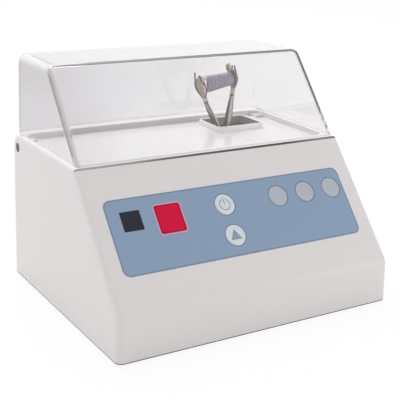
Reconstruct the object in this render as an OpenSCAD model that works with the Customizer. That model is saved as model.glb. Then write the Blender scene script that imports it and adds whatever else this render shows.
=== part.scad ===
// Dental amalgamator: a bench mixer that shakes a capsule on a rocking fork
// under a hinged clear cover. The origin is the middle of its footprint, on
// the bench: +X is to the user's right, +Y to the rear, +Z up.

/* [Housing] */
// Width of the housing at its bottom edge
housing_w = 225; // [205:1:260]
// Depth of the housing, front to rear
housing_d = 180; // [174:1:215]
// Height of the housing, from its bottom edge to the deck
housing_h = 110; // [104:1:135]
// Height of the low front face
front_h = 31; // [24:1:40]
// How far the low front face leans back at its top
front_rake = 1.5; // [0:0.5:4]
// Distance from the front to the deck's front edge
deck_setback = 70; // [64:1:76]
// How much narrower each side of the housing is at the deck
side_draft = 2; // [0:0.5:4]
// Thickness of the moulded housing wall
wall = 2.8; // [2.4:0.1:4]
// Radius of the upright front corners
front_corner_r = 5; // [3.5:0.5:8]
// Radius of the upright rear corners
rear_corner_r = 6; // [4:0.5:8]
// Radius of the bend between the slope and the low front face
bend_r = 11; // [6:1:16]
// Radius of the deck's front and side edges
deck_edge_r = 3; // [1.5:0.5:4]
// Radius of the deck's rear edge, which the cover turns round
hinge_edge_r = 9.5; // [8.5:0.5:12]

/* [Deck] */
// Depth of the tray in the deck
tray_depth = 4.5; // [3:0.5:8]
// Width of the deck's rim beside the tray
tray_side_rim = 6; // [5:0.5:10]
// Width of the deck's rim in front of the tray
tray_front_rim = 7; // [6:0.5:12]
// Width of the deck's rim behind the tray
tray_rear_rim = 10; // [9:0.5:14]
// Corner radius of the tray
tray_corner_r = 10; // [6:1:16]
// Thickness of the tray floor
tray_floor = 2.5; // [2:0.1:4]
// Width of the fork well, over its raised rim
well_w = 44.5; // [42:0.5:52]
// Depth of the fork well, front to rear, over its raised rim
well_d = 33.5; // [30:0.5:38]
// Distance of the fork well from the middle of the housing
well_x = 61.5; // [56:0.5:66]
// Distance from the rear of the housing to the middle of the fork well
well_inset = 35; // [33:1:37]
// Height of the well's raised rim above the tray floor
well_rim_h = 4.3; // [2:0.1:6]
// Thickness of the well's raised rim
well_rim_t = 2.5; // [2:0.1:3.5]
// Corner radius of the well's raised rim
well_corner_r = 5; // [3:0.5:8]

/* [Cover] */
// Height of the clear cover above the deck
cover_h = 60; // [58:1:75]
// Distance from the front of the housing to the cover's top front edge
cover_setback = 124.5; // [116:0.5:130]
// Thickness of the clear cover
cover_wall = 2.5; // [2:0.1:3]
// Width of the rim that stays bare beside the cover
cover_inset = 2.5; // [2:0.1:3]
// How much narrower each side of the cover is at its top
cover_side_draft = 3; // [1:0.5:5]
// How much the cover's rear leans in at its top
cover_rear_draft = 1; // [0:0.5:3]
// Radius of the cover's front edges
cover_front_r = 3.5; // [3:0.5:6]
// Radius of the cover's top front corners, seen from the front
cover_peak_r = 6.5; // [4:0.5:9]
// Radius of the cover's rear and top corners
cover_rear_r = 7; // [4:0.5:10]
// Gap under the cover, and beside its ears
cover_gap = 0.3; // [0.2:0.05:0.6]
// Radius of the cover's hinge ears
ear_r = 7; // [6:0.5:8]
// Diameter of the hinge pins
hinge_pin_d = 4; // [3:0.5:5]
// Diameter of the hinge pins' heads
hinge_head_d = 7; // [6:0.5:9]

/* [Keypad] */
// Width of the keypad film
film_w = 196; // [190:1:200]
// Height of the keypad film, along the slope
film_h = 54; // [52:0.5:58]
// Distance down the slope to the film's top edge
film_top = 25.3; // [22:0.1:30]
// Corner radius of the keypad film
film_r = 5.5; // [2:0.5:10]
// Thickness of the keypad film
film_t = 0.6; // [0.4:0.1:1]
// Diameter of the five keys
key_d = 15.6; // [12:0.2:18]
// How far a key moves when it is pressed
key_travel = 0.4; // [0.2:0.1:0.6]
// Distance of the power and start keys from the middle
key_x = -8; // [-12:0.5:-4]
// Distance down the slope to the upper row of keys
upper_row = 40.8; // [38:0.1:44]
// Distance down the slope to the start key
lower_row = 64.2; // [60:0.1:68]
// Distance of the first preset key from the middle
preset_x = 37.8; // [34:0.1:42]
// Spacing of the three preset keys
preset_pitch = 24.2; // [20:0.1:25]
// Width of the red display window
display_w = 19.6; // [16:0.1:22]
// Height of the red display window
display_h = 20.6; // [16:0.1:24]
// Distance of the display from the middle
display_x = -53; // [-56:0.5:-48]
// Distance down the slope to the middle of the display
display_s = 44.2; // [42:0.1:48]

/* [Fork] */
// Length of the capsule between the claws
capsule_l = 26; // [24:0.5:34]
// Diameter of the capsule at its cap
capsule_d = 13.2; // [10:0.1:14]
// Distance from the deck down to the rocker's pivot
pivot_drop = 30; // [27:1:34]
// Distance from the rocker's pivot to the capsule's axis
fork_l = 64.5; // [60:0.5:68]
// Lean of the rocker at rest, to the left
lean = 9.7; // [6:0.1:11]
// Thickness of the sheet steel of the fork arms
arm_t = 1.1; // [0.8:0.1:1.4]
// Width across an arm's claw, front to rear
claw_w = 11.8; // [9:0.1:13]
// Diameter of the rocker's pivot pin
pivot_d = 6; // [5:0.5:8]
// Play round each running pin, on the radius
running_gap = 0.05; // [0.03:0.01:0.1]

/* [Drive] */
// Diameter of the motor
motor_d = 50; // [40:1:56]
// Length of the motor's can
motor_l = 50; // [40:1:56]
// Distance from the rocker's pivot down to the motor shaft
shaft_drop = 30; // [28:0.5:34]
// Diameter of the motor shaft
shaft_d = 6; // [5:0.5:8]
// Diameter of the bearing on the crank pin
bearing_d = 10; // [9:0.5:12]
// Gap between the two bearing plates
plate_gap = 20; // [18:0.5:21]
// Thickness of the bearing plates and the chassis plate
plate_t = 3; // [2:0.5:4]

/* [Base] */
// Height of the rubber feet
foot_h = 3; // [2.6:0.2:6]
// Diameter of the rubber feet
foot_d = 14; // [10:1:18]
// Thickness of the base plate
base_t = 2; // [1.5:0.1:3]
// Distance of the mains inlet from the middle
inlet_x = -62; // [-70:1:-50]
// Height of the mains inlet above the housing's bottom edge
inlet_h = 30; // [26:1:36]

/* [Hidden] */
SWITCHES = 5;
$fn = 48;
// A cut reaches this far past the faces that it opens
past = 1;
front_y = -housing_d / 2;
rear_y = housing_d / 2;
bottom_z = foot_h;
deck_z = bottom_z + housing_h;
deck_y = front_y + deck_setback;
base_half_w = housing_w / 2;
deck_half_w = base_half_w - side_draft;
// How far the forms run on below the plane that cuts them off
run_on = 20;

// The housing's side profile as [y, z], from the front round to the rear
low_front = [front_y, bottom_z];
bend = [front_y + front_rake, bottom_z + front_h];
deck_front = [deck_y, deck_z];
deck_rear = [rear_y, deck_z];
slope_angle = atan2(deck_front[1] - bend[1], deck_front[0] - bend[0]);

// The cover's side profile
cover_z = deck_z + cover_gap;
cover_top = deck_z + cover_h;
cover_peak = [front_y + cover_setback, cover_top];
cover_back = [rear_y - cover_rear_draft, cover_top];
cover_half_w = deck_half_w - cover_inset;

// The hinge line, in the middle of the deck's rounded rear edge
hinge_y = rear_y - hinge_edge_r;
hinge_z = deck_z - hinge_edge_r;
ear_x = cover_half_w - cover_wall;
hinge_block_x = ear_x - 8;
hinge_block_h = 2 * hinge_edge_r;
hinge_head_t = 1.2;
head_seat = 0.15;

well_y = rear_y - well_inset;
tray_z = deck_z - tray_depth;
ceiling_z = tray_z - tray_floor;
tray_half_w = deck_half_w - tray_side_rim;
tray_front_y = deck_y + tray_front_rim;
tray_rear_y = rear_y - tray_rear_rim;

// Places on the slope, as [x, distance up the slope from its top edge]
film_x = -0.5;
film_mid = -film_top - film_h / 2;
film_recess = 0.5;
key_places = concat(
    [[key_x, -upper_row], [key_x, -lower_row]],
    [for (i = [0:2]) [preset_x + i * preset_pitch, -upper_row]]
);
key_gap = 0.2;
key_proud = 0.25;
key_t = 1.35;
key_seat = film_recess + 1.2;
stem_d = 5;
stem_gap = 0.3;
switch_size = 6;
switch_h = 4.3;
board_t = 1.6;
board_depth = wall + 7.6;
board_w = 176;
board_h = 46;
board_x = 10;
board_mid = -53.5;
board_hole_x = board_w / 2 - 4;
board_hole_y = board_h / 2 - 3.5;
screw_d = 2.4;
screw_hole_d = 2.5;
screw_head_d = 5.5;
screw_head_h = 2;
display_places = [display_x, -display_s];
lens_flange = 1.5;
lens_flange_t = 1;
lens_gap = 0.15;

// The drive, from the rocker's pivot down
pivot_x = well_x - 3.5;
pivot_z = deck_z - pivot_drop;
shaft_z = pivot_z - shaft_drop;
throw = shaft_drop * tan(lean);
plate_front_y = well_y - plate_gap / 2;
plate_rear_y = well_y + plate_gap / 2;
motor_rear_y = plate_front_y - plate_t;
motor_front_y = motor_rear_y - motor_l;
motor_cap_l = 6;
mount_h = 8;
chassis_z = bottom_z + base_t + mount_h;
chassis_w = 76;
chassis_front_y = motor_front_y - 4;
chassis_rear_y = plate_rear_y + plate_t + 6;
plate_over = 9;
plate_top_z = pivot_z + plate_over;

// The fork, in the rocker's upright frame
rocker_t = 3.2;
arm_side = 0.25;
arm_root_x = 4;
arm_root_h = 21;
arm_pin_d = 2.4;
claw_gap = 0.2;

function unit(v) = v / norm(v);

// Middle of an arc of radius r that rounds a profile's corner
function arc_centre(before, corner, after, r) =
    let (u = unit(before - corner), v = unit(after - corner))
    corner + unit(u + v) * r / sin(acos(u * v) / 2);

// Half the housing's width at height z
function half_w_at(z) = base_half_w - side_draft * (z - bottom_z) / housing_h;

// Half the cover's width at height z
function cover_half_at(z) = cover_half_w - cover_side_draft * (z - deck_z) / cover_h;

// Point of the line through a and b at height z
function at_height(a, b, z) = a + (b - a) * (z - a[1]) / (b[1] - a[1]);

// A corner of a form: [half width to the corner's middle, [y, z], ring, ball]
function low_corner(place, half_w, r, inward) =
    [half_w - r, place + [inward * r, 0], 0, r];
function high_corner(centre, half_w, r, ball) = [half_w - ball, centre, r - ball, ball];

bend_centre = arc_centre(low_front, bend, deck_front, bend_r);
deck_front_centre = arc_centre(bend, deck_front, deck_rear, deck_edge_r);
housing_corners = [
    low_corner(at_height(low_front, bend, bottom_z - run_on), half_w_at(bottom_z - run_on),
        front_corner_r, 1),
    low_corner([rear_y, bottom_z - run_on], half_w_at(bottom_z - run_on), rear_corner_r, -1),
    high_corner(bend_centre, half_w_at(bend_centre[1]), bend_r, min(front_corner_r, bend_r)),
    high_corner(deck_front_centre, half_w_at(deck_front_centre[1]), deck_edge_r, deck_edge_r),
    high_corner([hinge_y, hinge_z], half_w_at(hinge_z), hinge_edge_r, deck_edge_r)
];

// Centres of the balls that round a top front corner of the cover, in its front face's plane
function peak_corner(turn) =
    let (
        spare = max(0, cover_peak_r - cover_front_r),
        centre = cover_peak_centre
            - unit(cover_peak - deck_front) * spare * (1 - sin(turn))
    )
    high_corner(centre, cover_half_at(centre[1]) - spare * (1 - cos(turn)), cover_front_r,
        cover_front_r);

cover_peak_centre = arc_centre(deck_front, cover_peak, cover_back, cover_front_r);
cover_back_centre = arc_centre(cover_peak, cover_back, deck_rear, cover_rear_r);
peak_turns = [0, 30, 60, 90];
cover_corners = [
    low_corner(at_height(deck_front, cover_peak, deck_z - run_on),
        cover_half_at(deck_z - run_on), cover_front_r, 1 / sin(slope_angle)),
    low_corner([rear_y, deck_z - run_on], cover_half_at(deck_z - run_on), cover_rear_r, -1),
    for (turn = peak_turns) peak_corner(turn),
    high_corner(cover_back_centre, cover_half_at(cover_back_centre[1]), cover_rear_r,
        cover_rear_r)
];

// A ball swept round a ring that lies across X; a ring of 0 leaves the ball
module edge_ball(ring_r, ball_r) {
    rotate([0, 90, 0])
        rotate_extrude($fn = 40)
            intersection() {
                translate([ring_r, 0]) circle(r = ball_r, $fn = 32);
                translate([0, -ball_r]) square([ring_r + ball_r, 2 * ball_r]);
            }
}

// A convex moulding over its rounded corners, drawn in by inset
module moulding(corners, inset) {
    hull()
        for (c = corners, side = [-1, 1])
            translate([side * c[0], c[1][0], c[1][1]])
                edge_ball(c[2], max(c[3] - inset, 0.3));
}

module rounded_rect(w, h, r) {
    offset(r = r) square([w - 2 * r, h - 2 * r], center = true);
}

// Everything from height low up to height high
module between(low, high) {
    translate([-housing_w, -housing_d, low]) cube([2 * housing_w, 2 * housing_d, high - low]);
}

// Puts its children on the slope: local Y runs up the slope, local Z out of it
module on_slope(place = [0, 0], out = 0) {
    translate([0, deck_y, deck_z])
        rotate([slope_angle, 0, 0])
            translate([place[0], place[1], out])
                children();
}

// A cylinder along X from x = low to x = high
module x_rod(d, low, high) {
    translate([low, 0, 0]) rotate([0, 90, 0]) cylinder(d = d, h = high - low);
}

// A cylinder along Y from y = low to y = high
module y_rod(d, low, high) {
    translate([0, low, 0]) rotate([-90, 0, 0]) cylinder(d = d, h = high - low);
}

// A profile drawn as [x, z], extruded along Y over a thickness centred on y
module y_plate(y, t) {
    translate([0, y + t / 2, 0]) rotate([90, 0, 0]) linear_extrude(height = t) children();
}

boss_d = 9;
boss_h = 16;
boss_in = wall + boss_d / 2 - 0.8;
corner_places = [
    for (x = [-1, 1], y = [-1, 1]) [x * (base_half_w - boss_in), y * (rear_y - boss_in)]
];
board_places = [
    for (x = [-1, 1], y = [-1, 1]) [board_x + x * board_hole_x, board_mid + y * board_hole_y]
];
flange_w = 48;
flange_h = 22.5;
flange_t = 2.5;
inlet_body_w = 27;
inlet_body_h = 19.8;
inlet_depth = 22;
inlet_pad_t = 6.5;
inlet_z = bottom_z + inlet_h;
inlet_fit = 0.15;
inlet_screw_x = 20;

module housing_solid(inset) {
    moulding(housing_corners, inset);
}

module hinge_blocks() {
    intersection() {
        housing_solid(wall / 2);
        for (side = [-1, 1])
            mirror([side < 0 ? 1 : 0, 0, 0])
                translate([hinge_block_x, hinge_y - ear_r - wall, deck_z - hinge_block_h])
                    cube([base_half_w - hinge_block_x, hinge_edge_r + ear_r + wall,
                        hinge_block_h - tray_floor]);
    }
}

// Slots that the cover's ears turn in, open to the top and to the rear
module ear_slots() {
    for (side = [-1, 1])
        mirror([side < 0 ? 1 : 0, 0, 0])
            translate([ear_x - cover_gap, hinge_y - ear_r - cover_gap,
                    hinge_z - ear_r - cover_gap])
                cube([cover_wall + 2 * cover_gap, housing_d, housing_h]);
}

module hinge_pin_holes() {
    for (side = [-1, 1])
        translate([0, hinge_y, hinge_z])
            mirror([side < 0 ? 1 : 0, 0, 0]) {
                x_rod(hinge_pin_d, hinge_block_x + wall, base_half_w);
                x_rod(hinge_head_d + 2 * head_seat, pin_head_x, base_half_w + past);
            }
}
pin_head_x = half_w_at(hinge_z) - hinge_head_t;

module keypad_cuts() {
    on_slope([film_x, film_mid], -film_recess)
        linear_extrude(height = film_recess + past)
            rounded_rect(film_w + key_gap, film_h + key_gap, film_r);
    on_slope(display_places, -2 * wall)
        linear_extrude(height = 3 * wall)
            rounded_rect(display_w + 2 * lens_gap, display_h + 2 * lens_gap, 2);
    for (p = key_places) {
        on_slope(p, -key_seat) cylinder(d = key_d + 2 * key_gap, h = key_seat + past);
        on_slope(p, -2 * wall) cylinder(d = stem_d + 2 * key_gap, h = 3 * wall);
    }
}

module housing() {
    color([0.85, 0.84, 0.84])
        difference() {
            union() {
                difference() {
                    intersection() {
                        housing_solid(0);
                        between(bottom_z, deck_z + past);
                    }
                    intersection() {
                        housing_solid(wall);
                        between(bottom_z - past, ceiling_z);
                    }
                    translate([0, (tray_front_y + tray_rear_y) / 2, tray_z])
                        linear_extrude(height = tray_depth + past)
                            rounded_rect(2 * tray_half_w, tray_rear_y - tray_front_y,
                                tray_corner_r);
                }
                translate([well_x, well_y, ceiling_z])
                    linear_extrude(height = tray_floor + well_rim_h)
                        rounded_rect(well_w, well_d, well_corner_r);
                hinge_blocks();
                for (p = corner_places)
                    translate([p[0], p[1], bottom_z + base_t]) cylinder(d = boss_d, h = boss_h);
                for (p = board_places)
                    on_slope(p, -board_depth)
                        cylinder(d = screw_head_d + 1.5, h = board_depth - wall / 2);
                translate([inlet_x - flange_w / 2 - wall, rear_y - inlet_pad_t,
                        inlet_z - flange_h / 2 - wall])
                    cube([flange_w + 2 * wall, inlet_pad_t - wall / 2, flange_h + 2 * wall]);
            }
            translate([well_x, well_y, ceiling_z - past])
                linear_extrude(height = tray_floor + well_rim_h + 2 * past)
                    rounded_rect(well_w - 2 * well_rim_t, well_d - 2 * well_rim_t,
                        well_corner_r - well_rim_t);
            ear_slots();
            hinge_pin_holes();
            keypad_cuts();
            for (p = corner_places)
                translate([p[0], p[1], bottom_z]) cylinder(d = screw_hole_d, h = boss_h);
            for (p = board_places)
                on_slope(p, -board_depth - past)
                    cylinder(d = screw_hole_d, h = board_depth + past - wall);
            inlet_cut();
        }
}

module inlet_cut() {
    translate([inlet_x, 0, inlet_z]) {
        y_plate(rear_y, 2 * flange_t)
            rounded_rect(flange_w + 2 * inlet_fit, flange_h + 2 * inlet_fit, 2);
        y_plate(rear_y, 3 * inlet_pad_t)
            square([inlet_body_w + 2 * inlet_fit, inlet_body_h + 2 * inlet_fit], center = true);
        for (side = [-1, 1])
            translate([side * inlet_screw_x, 0, 0])
                y_rod(screw_hole_d, rear_y - inlet_pad_t - past, rear_y);
    }
}

// Clear cover: one shell with an ear at each rear corner
module cover() {
    color([0.8, 0.83, 0.85, 0.35])
        difference() {
            union() {
                difference() {
                    intersection() {
                        moulding(cover_corners, 0);
                        between(cover_z, cover_top + past);
                    }
                    intersection() {
                        moulding(cover_corners, cover_wall);
                        between(cover_z - past, cover_top + past);
                    }
                }
                for (side = [-1, 1])
                    translate([side * (ear_x + cover_wall / 2), hinge_y, hinge_z])
                        rotate([90, 0, 90])
                            linear_extrude(height = cover_wall, center = true)
                                ear_outline();
            }
            translate([0, hinge_y, hinge_z])
                x_rod(hinge_pin_d + 2 * running_gap, -base_half_w, base_half_w);
        }
}

// An ear's side view as [y, z] from the hinge line, up into the cover's wall
module ear_outline() {
    circle(r = ear_r);
    translate([-ear_r, 0])
        square([ear_r + hinge_edge_r - cover_rear_r, hinge_edge_r + cover_gap + 1]);
}

module hinge_pin(side) {
    color([0.25, 0.25, 0.27])
        translate([0, hinge_y, hinge_z])
            mirror([side < 0 ? 1 : 0, 0, 0]) {
                x_rod(hinge_pin_d, hinge_block_x + wall + head_seat, pin_head_x + 0.1);
                x_rod(hinge_head_d, pin_head_x, pin_head_x + hinge_head_t);
            }
}

vent_w = 2.5;
vent_l = 34;
vent_pitch = 7;
plate_edge = wall + 0.3;
// Flat bottom cover, with pillars under the power board
module base_plate() {
    color([0.7, 0.71, 0.72]) {
        translate([0, 0, bottom_z])
            linear_extrude(height = base_t)
                difference() {
                    rounded_rect(housing_w - 2 * plate_edge, housing_d - 2 * plate_edge, 2);
                    for (p = corner_places) translate(p) circle(d = screw_d + 0.8);
                    for (p = foot_places) translate(p) circle(d = peg_d + 0.1);
                    for (x = [-1, 1], i = [-3:3])
                        translate([x * pivot_x + i * vent_pitch, 0])
                            rounded_rect(vent_w, vent_l, 1.2);
                }
        for (x = [-1, 1], y = [-1, 1])
            translate([power_x + x * (power_w / 2 - 5), power_y + y * (power_d / 2 - 5),
                    bottom_z + base_t])
                cylinder(d = 6, h = pillar_h);
    }
}

foot_in = 16;
peg_d = 5;
foot_places = [
    for (x = [-1, 1], y = [-1, 1]) [x * (base_half_w - foot_in), y * (rear_y - foot_in)]
];
module foot(i) {
    color([0.15, 0.15, 0.16])
        translate([foot_places[i - 1][0], foot_places[i - 1][1], 0]) {
            cylinder(d1 = foot_d - 2, d2 = foot_d, h = 1);
            translate([0, 0, 1]) cylinder(d = foot_d, h = foot_h - 1);
            cylinder(d = peg_d, h = foot_h + base_t + 1);
        }
}

// A pan head screw that points along +Z, with its head under z = 0
module screw(length) {
    translate([0, 0, -screw_head_h])
        cylinder(d1 = screw_head_d - 1, d2 = screw_head_d, h = screw_head_h);
    cylinder(d = screw_d, h = length);
}

base_screw_l = 10;
module base_screw(i) {
    color([0.55, 0.56, 0.58])
        translate([corner_places[i - 1][0], corner_places[i - 1][1], bottom_z]) screw(base_screw_l);
}

module keypad_film() {
    color([0.5, 0.6, 0.71])
        difference() {
            on_slope([film_x, film_mid], -film_recess)
                linear_extrude(height = film_t) rounded_rect(film_w, film_h, film_r);
            on_slope(display_places, -wall)
                linear_extrude(height = 2 * wall)
                    rounded_rect(display_w + 2 * lens_gap, display_h + 2 * lens_gap, 2);
            for (p = key_places)
                on_slope(p, -wall) cylinder(d = key_d + 2 * key_gap, h = 2 * wall);
        }
}

// Red window, clipped in from behind by its flange
module display_lens() {
    color([0.78, 0.12, 0.25])
        on_slope(display_places) {
            translate([0, 0, -wall])
                linear_extrude(height = wall + 0.2) rounded_rect(display_w, display_h, 1.9);
            translate([0, 0, -wall - lens_flange_t])
                linear_extrude(height = lens_flange_t)
                    rounded_rect(display_w + 2 * lens_flange, display_h + 2 * lens_flange, 2);
        }
}

module display_module() {
    top = wall + lens_flange_t + 0.3;
    color([0.1, 0.1, 0.1])
        on_slope(display_places, -board_depth)
            translate([-display_w / 2, -display_h / 2, 0])
                cube([display_w, display_h, board_depth - top]);
}

// A round key cap with a stem down to its switch
module key(place) {
    stem_end = -board_depth + switch_h + key_travel + stem_gap;
    color([0.82, 0.84, 0.87])
        on_slope(place) {
            translate([0, 0, key_proud - key_t]) cylinder(d = key_d, h = key_t - 0.3);
            translate([0, 0, key_proud - 0.3]) cylinder(d1 = key_d, d2 = key_d - 0.6, h = 0.3);
            translate([0, 0, stem_end]) cylinder(d = stem_d, h = -stem_end - key_t / 2);
        }
}

module key_switch(i) {
    color([0.2, 0.2, 0.22])
        on_slope(key_places[i - 1], -board_depth) {
            translate([-switch_size / 2, -switch_size / 2, 0])
                cube([switch_size, switch_size, switch_h - 1]);
            cylinder(d = 3.4, h = switch_h);
        }
}

module control_board() {
    color([0.15, 0.4, 0.25])
        difference() {
            on_slope([board_x, board_mid], -board_depth - board_t)
                linear_extrude(height = board_t) rounded_rect(board_w, board_h, 2);
            for (p = board_places)
                on_slope(p, -board_depth - board_t - past)
                    cylinder(d = screw_d + 0.8, h = board_t + 2 * past);
        }
}

board_screw_l = 7;
module board_screw(i) {
    color([0.55, 0.56, 0.58])
        on_slope(board_places[i - 1], -board_depth - board_t) screw(board_screw_l);
}

chassis_mid_y = (chassis_front_y + chassis_rear_y) / 2;
mount_d = 12;
mount_inset = 9;
mount_places = [
    for (x = [-1, 1], y = [-1, 1])
        [pivot_x + x * (chassis_w / 2 - mount_inset), chassis_mid_y
            + y * ((chassis_rear_y - chassis_front_y) / 2 - mount_inset)]
];
module chassis_plate() {
    color([0.62, 0.63, 0.65])
        translate([pivot_x, chassis_mid_y, chassis_z])
            linear_extrude(height = plate_t)
                rounded_rect(chassis_w, chassis_rear_y - chassis_front_y, 4);
}

// Rubber mount between the base plate and the chassis, drawn in at its waist
module chassis_mount(i) {
    color([0.12, 0.12, 0.13])
        translate([mount_places[i - 1][0], mount_places[i - 1][1], bottom_z + base_t])
            rotate_extrude()
                difference() {
                    square([mount_d / 2, mount_h]);
                    translate([mount_d / 2 + mount_h / 4, mount_h / 2]) circle(r = mount_h / 2.6);
                }
}

// An upright plate that carries one end of the rocker's pin
module bearing_plate(y, shaft_hole) {
    foot_z = chassis_z + plate_t;
    color([0.62, 0.63, 0.65])
        difference() {
            y_plate(y, plate_t)
                hull() {
                    translate([pivot_x - plate_foot_w / 2, foot_z]) square([plate_foot_w, 8]);
                    translate([pivot_x, pivot_z]) circle(r = plate_top_z - pivot_z);
                }
            translate([pivot_x, 0, pivot_z]) y_rod(pivot_d, y - plate_t, y + plate_t);
            translate([pivot_x, 0, shaft_z]) y_rod(shaft_hole, y - plate_t, y + plate_t);
        }
}
plate_foot_w = 56;
motor_boss_d = 16;

module motor_can() {
    color([0.5, 0.51, 0.53])
        difference() {
            translate([pivot_x, 0, shaft_z]) {
                y_rod(motor_d, motor_front_y, motor_rear_y);
                y_rod(motor_boss_d, motor_rear_y - past, motor_rear_y + plate_t - 0.3);
            }
            translate([pivot_x, 0, shaft_z])
                y_rod(shaft_d + 2 * running_gap, motor_front_y - past, plate_front_y);
        }
}

module motor_cap() {
    color([0.2, 0.2, 0.22])
        translate([pivot_x, motor_front_y, shaft_z])
            rotate([90, 0, 0])
                rotate_extrude()
                    difference() {
                        square([motor_d / 2 - 1, motor_cap_l]);
                        square([motor_d / 8, motor_cap_l - 2]);
                        translate([motor_d / 2 - 1, motor_cap_l]) circle(r = 2);
                    }
}

crank_t = 5;
crank_front_y = plate_front_y + 0.6;
crank_pin_d = 5;
tail_t = 8;
counterweight_over = 5;
module motor_shaft() {
    color([0.7, 0.71, 0.73])
        translate([pivot_x, 0, shaft_z])
            y_rod(shaft_d, motor_front_y - motor_cap_l / 3, crank_front_y + crank_t);
}

// Balanced disc with the offset crank pin
module crank() {
    disc_d = 2 * throw + bearing_d;
    color([0.6, 0.58, 0.52])
        difference() {
            translate([pivot_x, 0, shaft_z]) {
                y_rod(disc_d, crank_front_y, crank_front_y + crank_t);
                intersection() {
                    y_rod(disc_d + 2 * counterweight_over, crank_front_y, crank_front_y + crank_t);
                    translate([-disc_d, crank_front_y, -disc_d])
                        cube([disc_d - shaft_d, crank_t, 2 * disc_d]);
                }
                translate([throw, 0, 0])
                    y_rod(crank_pin_d, crank_front_y, well_y + tail_t / 2 + 1);
            }
            translate([pivot_x, 0, shaft_z]) y_rod(shaft_d, crank_front_y - past, well_y - tail_t / 2);
        }
}

module crank_bearing() {
    color([0.75, 0.76, 0.78])
        translate([pivot_x + throw, 0, shaft_z])
            difference() {
                y_rod(bearing_d, well_y - tail_t / 2, well_y + tail_t / 2);
                y_rod(crank_pin_d, well_y - tail_t, well_y + tail_t);
            }
}

// Puts its children in the rocker's upright frame, leaning as at rest
module on_rocker() {
    translate([pivot_x, well_y, pivot_z]) rotate([0, -lean, 0]) children();
}

yoke_play = 1.05;
hub_d = 14;
hub_gap = 0.3;
module rocker() {
    slot_w = bearing_d + 2 * yoke_play;
    slot_top = shaft_drop / cos(lean) - bearing_d / 2 - 1;
    tail_end = shaft_drop + throw + bearing_d / 2 + 1;
    color([0.6, 0.57, 0.5])
        on_rocker()
            difference() {
                union() {
                    y_rod(hub_d, -plate_gap / 2 + hub_gap, plate_gap / 2 - hub_gap);
                    y_plate(0, tail_t)
                        difference() {
                            hull() {
                                circle(d = hub_d + 2);
                                translate([-slot_w / 2 - 3, -tail_end])
                                    square([slot_w + 6, tail_end - slot_top + 2]);
                            }
                            translate([-slot_w / 2, -tail_end - past])
                                square([slot_w, tail_end + past - slot_top]);
                        }
                    y_plate(0, rocker_t) {
                        translate([-hub_d / 3, 0]) square([hub_d / 1.5, arm_root_h]);
                        hull()
                            for (side = [-1, 1])
                                translate([side * arm_root_x, arm_root_h]) circle(r = root_r);
                    }
                }
                y_rod(pivot_d + 2 * running_gap, -plate_gap, plate_gap);
                for (side = [-1, 1])
                    translate([side * arm_root_x, 0, arm_root_h]) y_rod(arm_pin_d, -tail_t, tail_t);
            }
}
root_r = 2.3;

module rocker_pin() {
    color([0.7, 0.71, 0.73])
        translate([pivot_x, 0, pivot_z]) {
            y_rod(pivot_d, plate_front_y - plate_t, plate_rear_y + plate_t);
            y_rod(pivot_d + 4, plate_rear_y + plate_t, plate_rear_y + plate_t + 2);
        }
}

arm_w = rocker_t + 2 * arm_side + 2 * arm_t;
lug_r = root_r + 0.7;
neck_w = 3.8;
neck_drop = 12;
neck_h = fork_l - neck_drop;
finger_over = 5.5;
arm_top = fork_l + capsule_d / 2 + finger_over;
web_x = capsule_l / 2 + claw_gap;
web_low = arm_root_h + lug_r;
web_top = fork_l + capsule_d / 2;

// Rounds a line of points by cutting its corners, over and over
function rounded(line, times) = times == 0 ? line : rounded(concat(
    [line[0]],
    [for (i = [0:len(line) - 2], t = [0.25, 0.75]) line[i] * (1 - t) + line[i + 1] * t],
    [line[len(line) - 1]]
), times - 1);

// Half the arm's width, front to rear, at heights from its root to its tips
arm_front = rounded([
    [arm_w / 2, arm_root_h - lug_r - past], [arm_w / 2, arm_root_h + lug_r],
    [neck_w / 2, neck_h - 2], [neck_w / 2, neck_h + 2], [claw_w / 2 - 0.8, fork_l - 3],
    [claw_w / 2 + 0.3, fork_l + 3], [claw_w / 2 - 1.2, arm_top]
], 2);
// The inner edge of the arm's flanges, where its web runs, and their outer edge
arm_inner = rounded([
    [arm_root_x - root_r, arm_root_h], [web_x - 1.2, neck_h], [web_x, neck_h + 6],
    [web_x, web_top], [web_x + 1.6, arm_top]
], 2);
arm_outer = rounded([
    [arm_root_x + root_r, arm_root_h], [web_x + 1.1, neck_h], [web_x + 2.6, neck_h + 7],
    [web_x + 2.6, web_top], [web_x + 2.4, arm_top]
], 2);

function reversed(line) = [for (i = [len(line) - 1:-1:0]) line[i]];

// The arm's outline as [y, z], drawn in by less
module arm_outline(less) {
    polygon(concat(
        [for (p = arm_front) [p[0] - less, p[1]]],
        [for (p = reversed(arm_front)) [less - p[0], p[1]]]
    ));
}

// The arm's two flanges as [y, z], open between their tips
module flange_outline() {
    tip = arm_front[len(arm_front) - 1][0] - arm_t;
    difference() {
        arm_outline(0);
        arm_outline(arm_t);
        translate([-tip, arm_top - 0.5]) square([2 * tip, 1]);
    }
}

// Extrudes its children, drawn as [y, z], across the arm
module across_arm() {
    rotate([90, 0, 90]) linear_extrude(height = 2 * web_x) children();
}

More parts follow.
